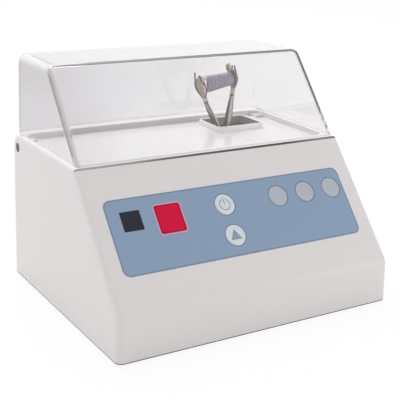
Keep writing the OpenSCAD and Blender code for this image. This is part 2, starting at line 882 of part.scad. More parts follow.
// One sprung sheet-steel arm: a tapered channel that opens outwards, and at its
// top a leaf for the capsule's end, between two fingers
module fork_arm(side) {
    color([0.62, 0.58, 0.52])
        on_rocker()
            mirror([side < 0 ? 1 : 0, 0, 0])
                difference() {
                    union() {
                        intersection() {
                            y_plate(0, 2 * claw_w) {
                                translate([arm_root_x, arm_root_h]) circle(r = lug_r);
                                polygon(concat(arm_inner, reversed(arm_outer)));
                            }
                            across_arm() flange_outline();
                        }
                        intersection() {
                            y_plate(0, 2 * claw_w)
                                polygon(concat(
                                    arm_inner, [for (p = reversed(arm_inner)) p + [arm_t, 0]]));
                            across_arm()
                                intersection() {
                                    arm_outline(arm_t / 2);
                                    translate([-claw_w, web_low])
                                        square([2 * claw_w, web_top - web_low]);
                                }
                        }
                    }
                    translate([arm_root_x, 0, arm_root_h])
                        y_rod(arm_pin_d + 2 * running_gap, -arm_w, arm_w);
                }
}

module fork_pin(side) {
    color([0.7, 0.71, 0.73])
        on_rocker()
            translate([side * arm_root_x, 0, arm_root_h]) {
                y_rod(arm_pin_d, -arm_w / 2 - 0.3, arm_w / 2 + 0.3);
                y_rod(arm_pin_d + 1.4, -arm_w / 2 - 1.1, -arm_w / 2 - 0.3);
                y_rod(arm_pin_d + 1.4, arm_w / 2 + 0.3, arm_w / 2 + 1.1);
            }
}

cap_l = capsule_l * 0.23;
capsule_taper = 1.2;
ring_w = 1.1;
rings = 4;
// A turned piece along the capsule's axis from x = low to x = high, as [r, x]
module on_capsule() {
    on_rocker() translate([0, 0, fork_l]) rotate([0, 90, 0]) rotate_extrude() children();
}

module capsule_body() {
    low = cap_l - capsule_l / 2 + 0.05;
    high = capsule_l / 2;
    wide = [capsule_d / 2, low];
    narrow = [capsule_d / 2 - capsule_taper, high];
    color([0.58, 0.56, 0.65])
        on_capsule()
            difference() {
                polygon([[0, low], wide, narrow, [0, high]]);
                translate(wide + [0.4, 0]) circle(r = 1);
                for (i = [1:rings])
                    translate(wide + (narrow - wide) * i / (rings + 1)) circle(d = ring_w);
                translate(narrow) circle(r = 0.9);
            }
}

module capsule_cap() {
    r = capsule_d / 2;
    color([0.55, 0.53, 0.62])
        on_capsule()
            difference() {
                translate([0, -capsule_l / 2]) square([r, cap_l]);
                translate([r, cap_l / 2 - capsule_l / 2]) circle(d = ring_w);
                translate([r, -capsule_l / 2]) circle(r = 0.9);
            }
}

core_x = -58;
core_back = 70;
core_y = rear_y - core_back;
core_w = 54;
core_d = 30;
core_h = 45;
coil_over = 9;
power_x = core_x;
board_ahead = 52;
power_y = front_y + board_ahead;
power_w = 70;
power_d = 52;
pillar_h = 5;
capacitor_d = 10;
capacitor_h = 16;
capacitor_pitch = 16;
relay_w = 18;
relay_d = 14;
relay_h = 10;
core_window = core_w / 6;
module transformer_core() {
    color([0.3, 0.3, 0.32])
        translate([core_x, core_y, bottom_z + base_t])
            rotate([90, 0, 0])
                linear_extrude(height = core_d, center = true)
                    difference() {
                        translate([-core_w / 2, 0]) square([core_w, core_h]);
                        for (side = [-1, 1])
                            translate([side * core_window * 1.5 - core_window / 2, core_window])
                                square([core_window, core_h - 2 * core_window]);
                    }
}

module transformer_coil() {
    play = 0.2;
    tall = core_h - 2 * core_window - 2 * play;
    color([0.72, 0.45, 0.2])
        translate([core_x, core_y, bottom_z + base_t + core_window + play])
            linear_extrude(height = tall)
                difference() {
                    rounded_rect(4 * core_window - 2 * play, core_d + 2 * coil_over, 3);
                    square([2 * core_window + 2 * play, core_d + 2 * play], center = true);
                }
}

module power_board() {
    z = bottom_z + base_t + pillar_h;
    color([0.2, 0.42, 0.25])
        translate([power_x, power_y, z]) {
            translate([-power_w / 2, -power_d / 2, 0]) cube([power_w, power_d, board_t]);
            for (i = [-1:1])
                translate([i * capacitor_pitch - capacitor_d / 2, capacitor_d, board_t])
                    cylinder(d = capacitor_d, h = capacitor_h);
            translate([power_w / 2 - relay_w - wall, wall - power_d / 2, board_t])
                cube([relay_w, relay_d, relay_h]);
        }
}

// Mains inlet with its three blades in an open socket
module mains_inlet() {
    socket_w = 24.2;
    socket_h = 16.4;
    socket_deep = 15.5;
    blade_pitch = 7;
    blade_w = 4;
    blade_t = 2;
    blade_l = 12;
    color([0.12, 0.12, 0.13])
        translate([inlet_x, 0, inlet_z]) {
            difference() {
                union() {
                    y_plate(rear_y - flange_t / 2, flange_t) rounded_rect(flange_w, flange_h, 1.8);
                    y_plate(rear_y - inlet_depth / 2, inlet_depth)
                        square([inlet_body_w, inlet_body_h], center = true);
                }
                y_plate(rear_y, 2 * socket_deep)
                    difference() {
                        square([socket_w, socket_h], center = true);
                        for (side = [-1, 1])
                            translate([side * socket_w / 2, socket_h / 2])
                                rotate(45) square(5, center = true);
                    }
                for (side = [-1, 1])
                    translate([side * inlet_screw_x, 0, 0])
                        y_rod(screw_d + 0.6, rear_y - 2 * flange_t, rear_y + past);
                for (side = [-1, 1])
                    translate([side * inlet_screw_x, 0, 0])
                        y_rod(screw_head_d + 0.2, rear_y - 1.6, rear_y + past);
            }
            for (p = [[-blade_pitch, -2], [blade_pitch, -2], [0, 2]])
                translate([p[0] - blade_t / 2, rear_y - socket_deep - 0.5, p[1] - blade_w / 2])
                    cube([blade_t, blade_l, blade_w]);
        }
}

module inlet_screw(side) {
    color([0.75, 0.76, 0.78])
        translate([inlet_x + side * inlet_screw_x, 0, inlet_z]) {
            y_rod(screw_head_d, rear_y - 1.6, rear_y - 0.2);
            y_rod(screw_d, rear_y - inlet_pad_t, rear_y - 1.6);
        }
}

housing();
base_plate();
cover();
hinge_pin(-1);  // hinge_pin_left
hinge_pin(1);  // hinge_pin_right
for (i = [1:4]) foot(i);
for (i = [1:4]) base_screw(i);
keypad_film();
display_lens();
display_module();
control_board();
key(key_places[0]);  // power_key
key(key_places[1]);  // start_key
for (i = [1:3]) key(key_places[i + 1]);
for (i = [1:SWITCHES]) key_switch(i);
for (i = [1:4]) board_screw(i);
chassis_plate();
bearing_plate(plate_front_y - plate_t / 2, motor_boss_d);  // bearing_plate_front
bearing_plate(plate_rear_y + plate_t / 2, motor_boss_d);  // bearing_plate_rear
for (i = [1:4]) chassis_mount(i);
motor_can();
motor_cap();
motor_shaft();
crank();
crank_bearing();
rocker();
rocker_pin();
fork_arm(-1);  // fork_arm_left
fork_arm(1);  // fork_arm_right
fork_pin(-1);  // fork_pin_left
fork_pin(1);  // fork_pin_right
capsule_body();
capsule_cap();
transformer_core();
transformer_coil();
power_board();
mains_inlet();
inlet_screw(-1);  // inlet_screw_1
inlet_screw(1);  // inlet_screw_2
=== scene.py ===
import math

import bmesh
import bpy
import numpy as np
from mathutils import Matrix, Vector


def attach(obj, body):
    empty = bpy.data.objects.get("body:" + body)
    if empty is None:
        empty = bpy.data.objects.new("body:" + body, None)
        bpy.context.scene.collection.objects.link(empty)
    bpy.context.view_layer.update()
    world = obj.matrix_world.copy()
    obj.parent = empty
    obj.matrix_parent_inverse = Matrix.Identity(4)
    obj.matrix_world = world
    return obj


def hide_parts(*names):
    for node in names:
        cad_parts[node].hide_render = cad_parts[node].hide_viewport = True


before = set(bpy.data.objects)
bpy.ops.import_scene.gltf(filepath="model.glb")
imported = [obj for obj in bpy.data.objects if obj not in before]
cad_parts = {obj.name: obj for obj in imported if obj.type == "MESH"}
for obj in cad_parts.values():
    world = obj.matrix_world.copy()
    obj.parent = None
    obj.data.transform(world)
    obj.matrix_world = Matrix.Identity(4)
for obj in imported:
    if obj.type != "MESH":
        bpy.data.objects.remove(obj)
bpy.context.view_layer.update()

# The camera: a product photograph taken from the front left and a little above, with
# the camera tipped a little to one side. Its place and its lens were worked out from
# the edges of the housing and the cover.
CAMERA_AT = (-0.35201, -0.56434, 0.28802)
CAMERA_TURN = math.radians(32.005)
CAMERA_DIP = math.radians(18.114)
CAMERA_ROLL = math.radians(2.020)
LENS_MM = 84.36
SENSOR_MM = 36.0


def camera_axes(turn, dip, roll):
    """The camera's right, up and backward directions. It looks along +Y turned by turn
    towards +X and by dip downwards, and is then rolled about the way it looks."""
    looks = np.array([math.cos(dip) * math.sin(turn), math.cos(dip) * math.cos(turn),
                      -math.sin(dip)])
    level = np.array([math.cos(turn), -math.sin(turn), 0.0])
    upright = np.cross(level, looks)
    right = level * math.cos(roll) + upright * math.sin(roll)
    return np.array([right, np.cross(right, looks), -looks])


camera_data = bpy.data.cameras.new("camera")
camera_data.lens = LENS_MM
camera_data.sensor_width = SENSOR_MM
camera_data.clip_start = 0.02
camera_data.clip_end = 100.0
camera = bpy.data.objects.new("camera", camera_data)
bpy.context.scene.collection.objects.link(camera)
axes = camera_axes(CAMERA_TURN, CAMERA_DIP, CAMERA_ROLL)
stance = Matrix(axes.T.tolist()).to_quaternion()
camera.matrix_world = Matrix.LocRotScale(CAMERA_AT, stance, None)
bpy.context.scene.camera = camera
bpy.context.scene.view_settings.view_transform = "Standard"


# The studio: a white sweep with no visible horizon, lit by an even dome, a large soft
# box behind and above the object, a smaller one on its left, and a faint one in front.
WARM_LIGHT = (1.0, 0.995, 0.99)
COOL_LIGHT = (0.96, 0.985, 1.0)
DOME_STRENGTH = 0.66
FLOOR_GREY = 0.92
FLOOR_WHITE_SHARE = 0.93
FLOOR_HALF = 12.0
LAMPS_AIM = (0, 0, 0.08)
FILL_AIM = (0.06, -0.06, 0.06)


def new_node(tree, kind, **settings):
    """A new shader node of a kind, with its properties set."""
    node = tree.nodes.new(kind)
    for key, value in settings.items():
        setattr(node, key, value)
    return node


def feed(tree, socket, value):
    """Sets an input to a number, or links it to another node's output."""
    if isinstance(value, float):
        socket.default_value = value
    else:
        tree.links.new(value, socket)


def combined(tree, kind, first, second):
    """What a Math node of a kind makes of two numbers or outputs."""
    node = new_node(tree, "ShaderNodeMath", operation=kind)
    feed(tree, node.inputs[0], first)
    feed(tree, node.inputs[1], second)
    return node.outputs[0]


def mixed(tree, share, first, second):
    """A mix of two shaders: where the share is 1, the second alone."""
    mix = new_node(tree, "ShaderNodeMixShader")
    for socket, output in zip(mix.inputs, (share, first, second)):
        tree.links.new(output, socket)
    return mix.outputs[0]


def seen_directly(tree):
    """A factor of 1 for camera, glossy and transmission rays, and 0 for the rest."""
    path = new_node(tree, "ShaderNodeLightPath")
    total = path.outputs["Is Camera Ray"]
    for name in ("Is Glossy Ray", "Is Transmission Ray"):
        total = combined(tree, "MAXIMUM", total, path.outputs[name])
    return total


world = bpy.data.worlds.new("studio")
world.use_nodes = True
bpy.context.scene.world = world
tree = world.node_tree
tree.nodes.clear()
dome = new_node(tree, "ShaderNodeBackground")
dome.inputs["Color"].default_value = (*WARM_LIGHT, 1.0)
dome.inputs["Strength"].default_value = DOME_STRENGTH
white = new_node(tree, "ShaderNodeBackground")
white.inputs["Color"].default_value = (1.0, 1.0, 1.0, 1.0)
sky = mixed(tree, seen_directly(tree), dome.outputs[0], white.outputs[0])
tree.links.new(sky, new_node(tree, "ShaderNodeOutputWorld").inputs["Surface"])

floor_mesh = bpy.data.meshes.new("floor")
corners = [(x * FLOOR_HALF, y * FLOOR_HALF, 0) for x, y in ((-1, -1), (1, -1), (1, 1), (-1, 1))]
floor_mesh.from_pydata(corners, [], [(0, 1, 2, 3)])
floor = bpy.data.objects.new("floor", floor_mesh)
bpy.context.scene.collection.objects.link(floor)
paper = bpy.data.materials.new("white_paper")
paper.use_nodes = True
tree = paper.node_tree
tree.nodes.clear()
share = combined(tree, "MULTIPLY", seen_directly(tree), FLOOR_WHITE_SHARE)
matt = new_node(tree, "ShaderNodeBsdfDiffuse")
matt.inputs["Color"].default_value = (FLOOR_GREY, FLOOR_GREY, FLOOR_GREY, 1.0)
glow = new_node(tree, "ShaderNodeEmission")
paper_light = mixed(tree, share, matt.outputs[0], glow.outputs[0])
tree.links.new(paper_light, new_node(tree, "ShaderNodeOutputMaterial").inputs["Surface"])
floor_mesh.materials.append(paper)


def soft_box(name, place, aim, size, watts, colour=(1.0, 1.0, 1.0)):
    """A square area lamp at place that faces aim. Its size is in metres."""
    lamp = bpy.data.lights.new(name, "AREA")
    lamp.size = size
    lamp.energy = watts
    lamp.color = colour
    held = bpy.data.objects.new(name, lamp)
    bpy.context.scene.collection.objects.link(held)
    back = Vector(place) - Vector(aim)
    held.matrix_world = Matrix.LocRotScale(place, back.to_track_quat("Z", "Y"), None)


soft_box("back_box", (0.1, 1.25, 1.75), LAMPS_AIM, size=1.4, watts=28.6, colour=WARM_LIGHT)
soft_box("left_box", (-1.5, 0.3, 0.45), LAMPS_AIM, size=0.9, watts=2.6, colour=COOL_LIGHT)
soft_box("right_fill", (0.70, -0.80, 0.30), FILL_AIM, size=0.5, watts=1.7)


# Housing: one injection moulding in warm white plastic, satin outside and glossier
# in the tray. Its side profile is a sloped desk with a low front and a flat deck. The
# tray is let into the deck, and the fork comes up out of a well with a raised rim.
MM = 0.001
HALF_W = 0.1125
HALF_D = 0.090
DECK_Z = 0.113
TRAY_Z = 0.1085
TRAY_AT = np.array([0.0, 0.0335])
TRAY_HALF = np.array([0.1045, 0.0465])
WELL_AT = np.array([0.0615, 0.055])
WELL_HALF = np.array([0.02225, 0.01675])
WELL_TOP_Z = 0.1128
WELL_LOW_Z = 0.050
FOOT_EDGE_Z = 0.0035
# How much two heights or places may differ and still count as one
SAME = 0.01 * MM
NEAR = 0.1 * MM
# How close two points of a CAD mesh lie to be one, how little a flat's parts turn, and
# how much a sharp edge turns, in degrees
ONE_POINT = 2e-6
FLAT_DEG = 0.4
SHARP_DEG = 35.0
# The edges' radii
TRAY_EDGE_R = 0.60 * MM
TRAY_FOOT_R = 0.30 * MM
RIM_EDGE_R = 1.02 * MM
RIM_FOOT_R = 0.30 * MM
FOOT_EDGE_R = 0.36 * MM
WIDEST_R = 1.20 * MM


def merged_copy(node, name):
    """A copy of a CAD node's mesh with its loose triangles joined and its flats merged.
    A face of more than four sides is cut into triangles again, as broad as they go."""
    joined = bmesh.new()
    joined.from_mesh(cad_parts[node].data)
    bmesh.ops.remove_doubles(joined, verts=joined.verts, dist=ONE_POINT)
    bmesh.ops.dissolve_limit(joined, angle_limit=math.radians(FLAT_DEG),
                             verts=joined.verts, edges=joined.edges)
    wide = [f for f in joined.faces if len(f.verts) > 4]
    bmesh.ops.triangulate(joined, faces=wide, ngon_method="BEAUTY")
    places = [v.co[:] for v in joined.verts]
    joined.verts.index_update()
    faces = [[v.index for v in f.verts] for f in joined.faces]
    joined.free()
    mesh = bpy.data.meshes.new(name)
    mesh.from_pydata(places, [], faces)
    mesh.update()
    return mesh


def placed(mesh, material, body, nodes=()):
    """Puts a finished mesh in the scene on its body, in place of its CAD nodes."""
    piece = bpy.data.objects.new(mesh.name, mesh)
    bpy.context.scene.collection.objects.link(piece)
    for finish in material if isinstance(material, list) else [material]:
        mesh.materials.append(finish)
    if nodes:
        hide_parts(*nodes)
    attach(piece, body)
    return piece


def soft_edges(piece, width=0.0, angle=SHARP_DEG, segments=2, weighted=False):
    """Shades a piece's flats flat and, given a width, rounds its sharp edges by it."""
    piece.data.shade_smooth()
    piece.data.set_sharp_from_angle(angle=math.radians(angle))
    if width:
        bevel = piece.modifiers.new("edges", "BEVEL")
        bevel.width = width
        bevel.segments = segments
        bevel.limit_method = "WEIGHT" if weighted else "ANGLE"
        bevel.angle_limit = math.radians(angle)
        bevel.use_clamp_overlap = False
        bevel.miter_outer = "MITER_ARC"
    level = piece.modifiers.new("flats", "WEIGHTED_NORMAL")
    level.keep_sharp = True


def read_rows(items, name):
    """A place or direction of each vertex or face of a mesh, as an array with three
    numbers in a row."""
    rows = np.zeros(len(items) * 3, np.float32)
    items.foreach_get(name, rows)
    return rows.reshape(-1, 3)


def within(places, middle, half):
    """Which places lie in a rectangle of the plan, given its middle and half its size."""
    return (np.abs(places[:, :2] - middle) < half).all(axis=1)


def edge_weights(mesh, rule):
    """Gives each sharp edge the bevel weight that rule works out from its two ends."""
    ends = np.zeros(len(mesh.edges) * 2, np.int32)
    mesh.edges.foreach_get("vertices", ends)
    first, second = read_rows(mesh.vertices, "co")[ends.reshape(-1, 2)].swapaxes(0, 1)
    mesh.set_sharp_from_angle(angle=math.radians(SHARP_DEG))
    sharp = np.zeros(len(mesh.edges), bool)
    mesh.attributes["sharp_edge"].data.foreach_get("value", sharp)
    weights = np.where(sharp, rule(first, second), 0.0)
    layer = mesh.attributes.new("bevel_weight_edge", "FLOAT", "EDGE")
    layer.data.foreach_set("value", weights.astype(np.float32))


# How far apart the cloudy changes of a surface's colour and of its gloss lie
DRIFT_MM = 62.5
GLOSS_MM = 20.0
GRAIN_DEPTH = 0.1 * MM
# Noise from 0 to 1 mostly lies between these
NOISE_SPREAD = (0.25, 0.75)


def plastic(name, colour, roughness=0.35, mottle=0.02, grain=0.03, grain_mm=0.5,
            gloss_swing=0.05, **sockets):
    """A Principled material: colour drifts by mottle over DRIFT_MM, roughness by
    gloss_swing over GLOSS_MM, and a fine grain of grain_mm is pressed into it as bump."""
    material = bpy.data.materials.new(name)
    material.use_nodes = True
    tree = material.node_tree
    shader = tree.nodes["Principled BSDF"]
    for key, value in sockets.items():
        shader.inputs[key.replace("_", " ")].default_value = value
    where = new_node(tree, "ShaderNodeTexCoord").outputs["Object"]

    def cloud(size_mm, detail):
        noise = new_node(tree, "ShaderNodeTexNoise")
        noise.inputs["Scale"].default_value = 1.0 / (size_mm * MM)
        noise.inputs["Detail"].default_value = detail
        tree.links.new(where, noise.inputs["Vector"])
        return noise.outputs["Fac"]

    shade = new_node(tree, "ShaderNodeValToRGB")
    for end, drift in ((0, 1.0 - mottle), (1, 1.0 + mottle)):
        drifted = [min(1.0, c * drift) for c in colour]
        shade.color_ramp.elements[end].position = NOISE_SPREAD[end]
        shade.color_ramp.elements[end].color = (*drifted, 1.0)
    tree.links.new(cloud(DRIFT_MM, detail=3.0), shade.inputs["Fac"])
    tree.links.new(shade.outputs["Color"], shader.inputs["Base Color"])
    gloss = new_node(tree, "ShaderNodeMapRange")
    gloss.inputs["To Min"].default_value = max(0.02, roughness - gloss_swing)
    gloss.inputs["To Max"].default_value = roughness + gloss_swing
    tree.links.new(cloud(GLOSS_MM, detail=4.0), gloss.inputs["Value"])
    tree.links.new(gloss.outputs["Result"], shader.inputs["Roughness"])
    if grain:
        bump = new_node(tree, "ShaderNodeBump")
        bump.inputs["Strength"].default_value = grain
        bump.inputs["Distance"].default_value = GRAIN_DEPTH
        tree.links.new(cloud(grain_mm, detail=2.0), bump.inputs["Height"])
        tree.links.new(bump.outputs["Normal"], shader.inputs["Normal"])
    return material


def tone(red, green, blue):
    """A colour given as it looks on a screen, 0 to 255, as linear light."""
    seen = np.array([red, green, blue]) / 255.0
    light = np.where(seen <= 0.04045, seen / 12.92, ((seen + 0.055) / 1.055) ** 2.4)
    return tuple(float(x) for x in light)


# The housing's finishes in the order of its material slots, all one plastic: the tray's
# floor and the deck are painted lighter, the walls of the tray that face the front and the
# left and the inside of the well are painted shade, and the well rim's top a painted highlight.
housing_finishes = [
    plastic("case_plastic", tone(224, 219, 219), 0.42, 0.010, 0.05, 0.45),
    plastic("tray_lit_plastic", tone(241, 239, 238), 0.16, 0.008, 0.01, 1.5, 0.03),
    plastic("well_painted_shade", tone(158, 142, 146), 0.40, 0.05, 0.06, 0.8),
    plastic("shaded_plastic", tone(208, 198, 201), 0.30, 0.01, 0.02, 1.0),
    plastic("side_shaded_plastic", tone(224, 220, 222), 0.30, 0.01, 0.02, 1.0),
    plastic("rim_highlight_plastic", tone(242, 241, 240), 0.14, 0.006, 0.01, 1.5, 0.03)]
CASE, TRAY, WELL_SHADE, SHADED, SIDE_SHADE, RIM_HIGHLIGHT = range(len(housing_finishes))
# How much a face's normal rises: at most this in the well and on the tray's walls, and
# at least this on the well's rim and on the deck
WELL_RISE = 0.3
WALL_RISE = 0.5
RIM_RISE = 0.9
DECK_RISE = 0.99


def housing_bevels(first, second):
    """The share of WIDEST_R by which a sharp edge is rounded, from its two ends. Edges
    that aren't named here stay sharp."""
    middle = (first + second) / 2
    height = middle[:, 2]
    level = np.abs(first - second)[:, 2] < SAME
    at_well = within(middle, WELL_AT, WELL_HALF + MM)
    at_tray = within(middle, TRAY_AT, TRAY_HALF + NEAR) & ~at_well
    radius = np.zeros(len(middle))
    radius[level & at_tray & (np.abs(height - DECK_Z) < SAME)] = TRAY_EDGE_R
    radius[level & ~at_well & (np.abs(height - TRAY_Z) < SAME)] = TRAY_FOOT_R
    radius[level & at_well & (np.abs(height - WELL_TOP_Z) < SAME)] = RIM_EDGE_R
    radius[level & at_well & (np.abs(height - TRAY_Z) < SAME)] = RIM_FOOT_R
    radius[height < FOOT_EDGE_Z] = FOOT_EDGE_R
    return radius / WIDEST_R


def housing_finish(mesh):
    """The material slot of each face of the housing, from the face's middle and the way it
    faces, which sets where it is painted lighter, shaded or highlighted."""
    centres, normals = (read_rows(mesh.polygons, name) for name in ("center", "normal"))
    height, upward = centres[:, 2], normals[:, 2]
    in_tray = within(centres, TRAY_AT, TRAY_HALF + NEAR)
    in_tray &= (height > TRAY_Z - NEAR) & (height < DECK_Z - SAME)
    to_well = ((centres[:, :2] - WELL_AT) * normals[:, :2]).sum(axis=1) < -SAME
    in_well = within(centres, WELL_AT, WELL_HALF) & to_well & (np.abs(upward) < WELL_RISE)
    in_well &= (height > WELL_LOW_Z) & (height < DECK_Z + 0.5 * MM)
    wall = in_tray & ~within(centres, WELL_AT, WELL_HALF + 3 * MM)
    wall &= np.abs(upward) < WALL_RISE
    right_wall = wall & (normals[:, 0] < -0.6) & (centres[:, 0] > TRAY_HALF[0] - 2 * MM)
    rear_wall = wall & (normals[:, 1] < -0.3)
    rim = within(centres, WELL_AT, WELL_HALF + 2 * MM) & (upward > RIM_RISE)
    rim &= np.abs(height - WELL_TOP_Z) < NEAR
    deck = (np.abs(height - DECK_Z) < SAME) & (upward > DECK_RISE)
    # Painted shade in the well and on the tray's walls, a painted highlight on the rim's top, and
    # the tray and deck painted lighter
    return np.select([in_well, right_wall, rear_wall, rim, in_tray | deck],
                     [WELL_SHADE, SIDE_SHADE, SHADED, RIM_HIGHLIGHT, TRAY], CASE)


housing_mesh = merged_copy("housing", "housing_shell")
edge_weights(housing_mesh, housing_bevels)
housing = placed(housing_mesh, housing_finishes, "housing_group", ["housing"])
soft_edges(housing, WIDEST_R, segments=4, weighted=True)
slots = housing_finish(housing_mesh).astype(np.int32)
housing_mesh.polygons.foreach_set("material_index", slots)


# Keypad film: a blue polyester sheet printed on its back and stuck into a shallow
# recess in the slope, with a dark plain patch and a pale border round the window. A thin
# line of painted shadow runs round its edge, where it meets the recess.
SLOPE_TOP = (-0.020, DECK_Z)
SLOPE_FOOT = (-0.0885, 0.034)
SLOPE_ANGLE = math.atan2(SLOPE_TOP[1] - SLOPE_FOOT[1], SLOPE_TOP[0] - SLOPE_FOOT[0])
# The film's sizes are in millimetres: a loop is a width, a height and a corner radius,
# and a place is across the slope from its middle and down it from its top edge
FILM_OUT = 0.1
INK_LOW = FILM_OUT - 0.02
INK_OUT = FILM_OUT + 0.05
PATCH_AT = (-81.3, 41.9)
PATCH = (14.8, 14.2, 0.7)
WINDOW_AT = (-53.0, 44.2)
BORDER_INNER = (20.0, 21.0, 2.0)
BORDER_OUTER = (21.7, 22.7, 2.7)
FILM_AT = (-0.5, 52.3)
EDGE_LINE_INNER = (194.4, 52.4, 4.7)
EDGE_LINE_OUTER = (195.4, 53.4, 5.2)
GRID_SHARP_DEG = 40.0


def on_slope(across, down, out):
    """Points given in mm across the slope, down it from its top edge and out of it."""
    across, down, out = np.broadcast_arrays(across, down, out)
    c, s = math.cos(SLOPE_ANGLE), math.sin(SLOPE_ANGLE)
    y = SLOPE_TOP[0] - down * MM * c - out * MM * s
    z = SLOPE_TOP[1] - down * MM * s + out * MM * c
    return np.stack([across * MM, y, z], axis=-1)


def turned_out(mesh, merge=0.0):
    """Turns a mesh's faces outwards. Given a distance, its points that lie closer are
    merged first and what then has no area goes."""
    tidy = bmesh.new()
    tidy.from_mesh(mesh)
    if merge:
        bmesh.ops.remove_doubles(tidy, verts=tidy.verts, dist=merge)
        bmesh.ops.dissolve_degenerate(tidy, edges=tidy.edges, dist=merge / 10)
        loose = [v for v in tidy.verts if not v.link_faces]
        bmesh.ops.delete(tidy, geom=loose, context="VERTS")
    bmesh.ops.recalc_face_normals(tidy, faces=tidy.faces)
    tidy.to_mesh(mesh)
    tidy.free()


def grid_mesh(name, points, closed_rows=False, closed_columns=False):
    """A mesh over rows by columns of points. Rows or columns may join end to end, poles
    and seams are merged, and the faces of a closed shape are turned outwards."""
    rows, columns = points.shape[:2]
    index = np.arange(rows * columns).reshape(rows, columns)
    if closed_rows:
        index = np.vstack([index, index[:1]])
    if closed_columns:
        index = np.hstack([index, index[:, :1]])
    quads = np.stack([index[:-1, :-1], index[:-1, 1:], index[1:, 1:], index[1:, :-1]], -1)
    mesh = bpy.data.meshes.new(name)
    mesh.from_pydata(points.reshape(-1, 3).tolist(), [], quads.reshape(-1, 4).tolist())
    turned_out(mesh, merge=1e-7)
    mesh.shade_smooth()
    mesh.set_sharp_from_angle(angle=math.radians(GRID_SHARP_DEG))
    return mesh


def rounded_loop(width, height, radius, steps=10):
    """A rounded rectangle as a loop of [across, down]: four quarter circles, each about
    a middle that lies radius in from both sides of its corner."""
    quarter = np.linspace(0, math.pi / 2, steps)
    turns = np.concatenate([quarter + k * math.pi / 2 for k in range(4)])
    signs = np.repeat([[1, 1], [-1, 1], [-1, -1], [1, -1]], steps, axis=0)
    middle = signs * [width / 2 - radius, height / 2 - radius]
    return middle + radius * np.stack([np.cos(turns), np.sin(turns)], -1)


def slope_ring(name, inner, outer, at, low, high):
    """A flat ring on the slope between two matching loops about at, low to high out."""
    rows = [(inner, low), (outer, low), (outer, high), (inner, high)]
    points = [on_slope(loop[:, 0] + at[0], loop[:, 1] + at[1], out) for loop, out in rows]
    return grid_mesh(name, np.stack(points), closed_rows=True, closed_columns=True)


def flat_outline(name, outline, at, low, high):
    """A flat shape on the slope inside an outline about at, low to high out: the outline
    twice, its sides joined by quads and its two ends closed by one face each."""
    count = len(outline)
    points = np.concatenate([on_slope(outline[:, 0] + at[0], outline[:, 1] + at[1], out)
                             for out in (low, high)])
    loop = np.arange(count)
    nexts = np.roll(loop, -1)
    sides = np.stack([loop, nexts, nexts + count, loop + count], -1).tolist()
    mesh = bpy.data.meshes.new(name)
    ends = [loop[::-1].tolist(), (loop + count).tolist()]
    mesh.from_pydata(points.tolist(), [], ends + sides)
    turned_out(mesh)
    return mesh


film_blue = plastic("film_blue", tone(135, 157, 185), 0.36, 0.012, 0.10, 0.25, 0.04)
film = placed(merged_copy("keypad_film", "keypad_overlay"), film_blue, "housing_group",
              ["keypad_film"])
soft_edges(film)

patch_ink = plastic("patch_ink", tone(36, 38, 52), 0.45, 0.02, 0.05, 0.3, Specular_IOR_Level=0.2)
border_ink = plastic("border_ink", tone(206, 166, 188), 0.35, 0.02, 0.05, 0.3)
# A thin ring of painted shadow where the film meets the edge of its recess
film_edge_shade = plastic("film_edge_shade", tone(112, 128, 152), 0.35, 0.02, 0.05, 0.3)
patch = flat_outline("printed_patch", rounded_loop(*PATCH), PATCH_AT, INK_LOW, INK_OUT)
placed(patch, patch_ink, "housing_group")
border = slope_ring("window_border", rounded_loop(*BORDER_INNER), rounded_loop(*BORDER_OUTER),
                    WINDOW_AT, INK_LOW, INK_OUT)
placed(border, border_ink, "housing_group")
edge_line = slope_ring("film_edge_line", rounded_loop(*EDGE_LINE_INNER),
                       rounded_loop(*EDGE_LINE_OUTER), FILM_AT, INK_LOW, INK_OUT)
placed(edge_line, film_edge_shade, "housing_group")


# Display: a red window clipped in from behind, with a darker rim. The display module
# stands under it on the control board, and a switch stands under each key.
WINDOW_EDGE_R = 0.25 * MM
RED_RIM_INNER = (17.8, 18.8, 1.4)
RED_RIM_OUTER = (18.8, 19.8, 1.6)
RED_RIM_OUT = (0.15, 0.26)

window_red = plastic("window_red", tone(214, 24, 66), 0.30, 0.03, 0.02, 0.4, 0.04,
                     Specular_IOR_Level=0.08)
lens = placed(merged_copy("display_lens", "display_window"), window_red, "housing_group",
              ["display_lens"])
soft_edges(lens, WINDOW_EDGE_R)
rim_red = plastic("rim_red", tone(176, 12, 56), 0.3, 0.04, 0.0, 1.0, 0.04, Specular_IOR_Level=0.1)
window_rim = slope_ring("window_rim", rounded_loop(*RED_RIM_INNER),
                        rounded_loop(*RED_RIM_OUTER), WINDOW_AT, *RED_RIM_OUT)
placed(window_rim, rim_red, "housing_group")
matt_black = plastic("matt_black", tone(38, 38, 40), 0.55, 0.05, 0.10, 0.3)
for node in ["display_module"] + [f"key_switch_{i}" for i in range(1, 6)]:
    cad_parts[node].data.materials.clear()
    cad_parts[node].data.materials.append(matt_black)


# Keys: five round caps that stand a little proud of the film. Each has a raised rim, a
# shallow dished face and a stem down to its switch, and a thin ring of painted shade lies
# round it on the film. Sizes are in millimetres, and a profile's points are [radius, out].
KEY_R = 7.8
SURROUND_R = (8.05, 8.45)
KEY_STEPS = 72
KEY_PLACES = {"power_key": (-8.0, 40.8), "start_key": (-8.0, 64.2),
              "preset_key_1": (37.8, 40.8), "preset_key_2": (62.0, 40.8),
              "preset_key_3": (86.2, 40.8)}
STEM_R = 2.5
STEM_END = -5.4
KEY_PROFILE = [(0, 0.04), (2.0, 0.04), (4.0, 0.05), (5.2, 0.07), (5.7, 0.09), (6.0, 0.20),
               (6.3, 0.25), (7.1, 0.25), (7.45, 0.20), (7.65, 0.08), (KEY_R, -0.10),
               (KEY_R, -1.0), (7.7, -1.10), (STEM_R, -1.10), (STEM_R, STEM_END + 0.2),
               (STEM_R - 0.2, STEM_END), (0, STEM_END)]


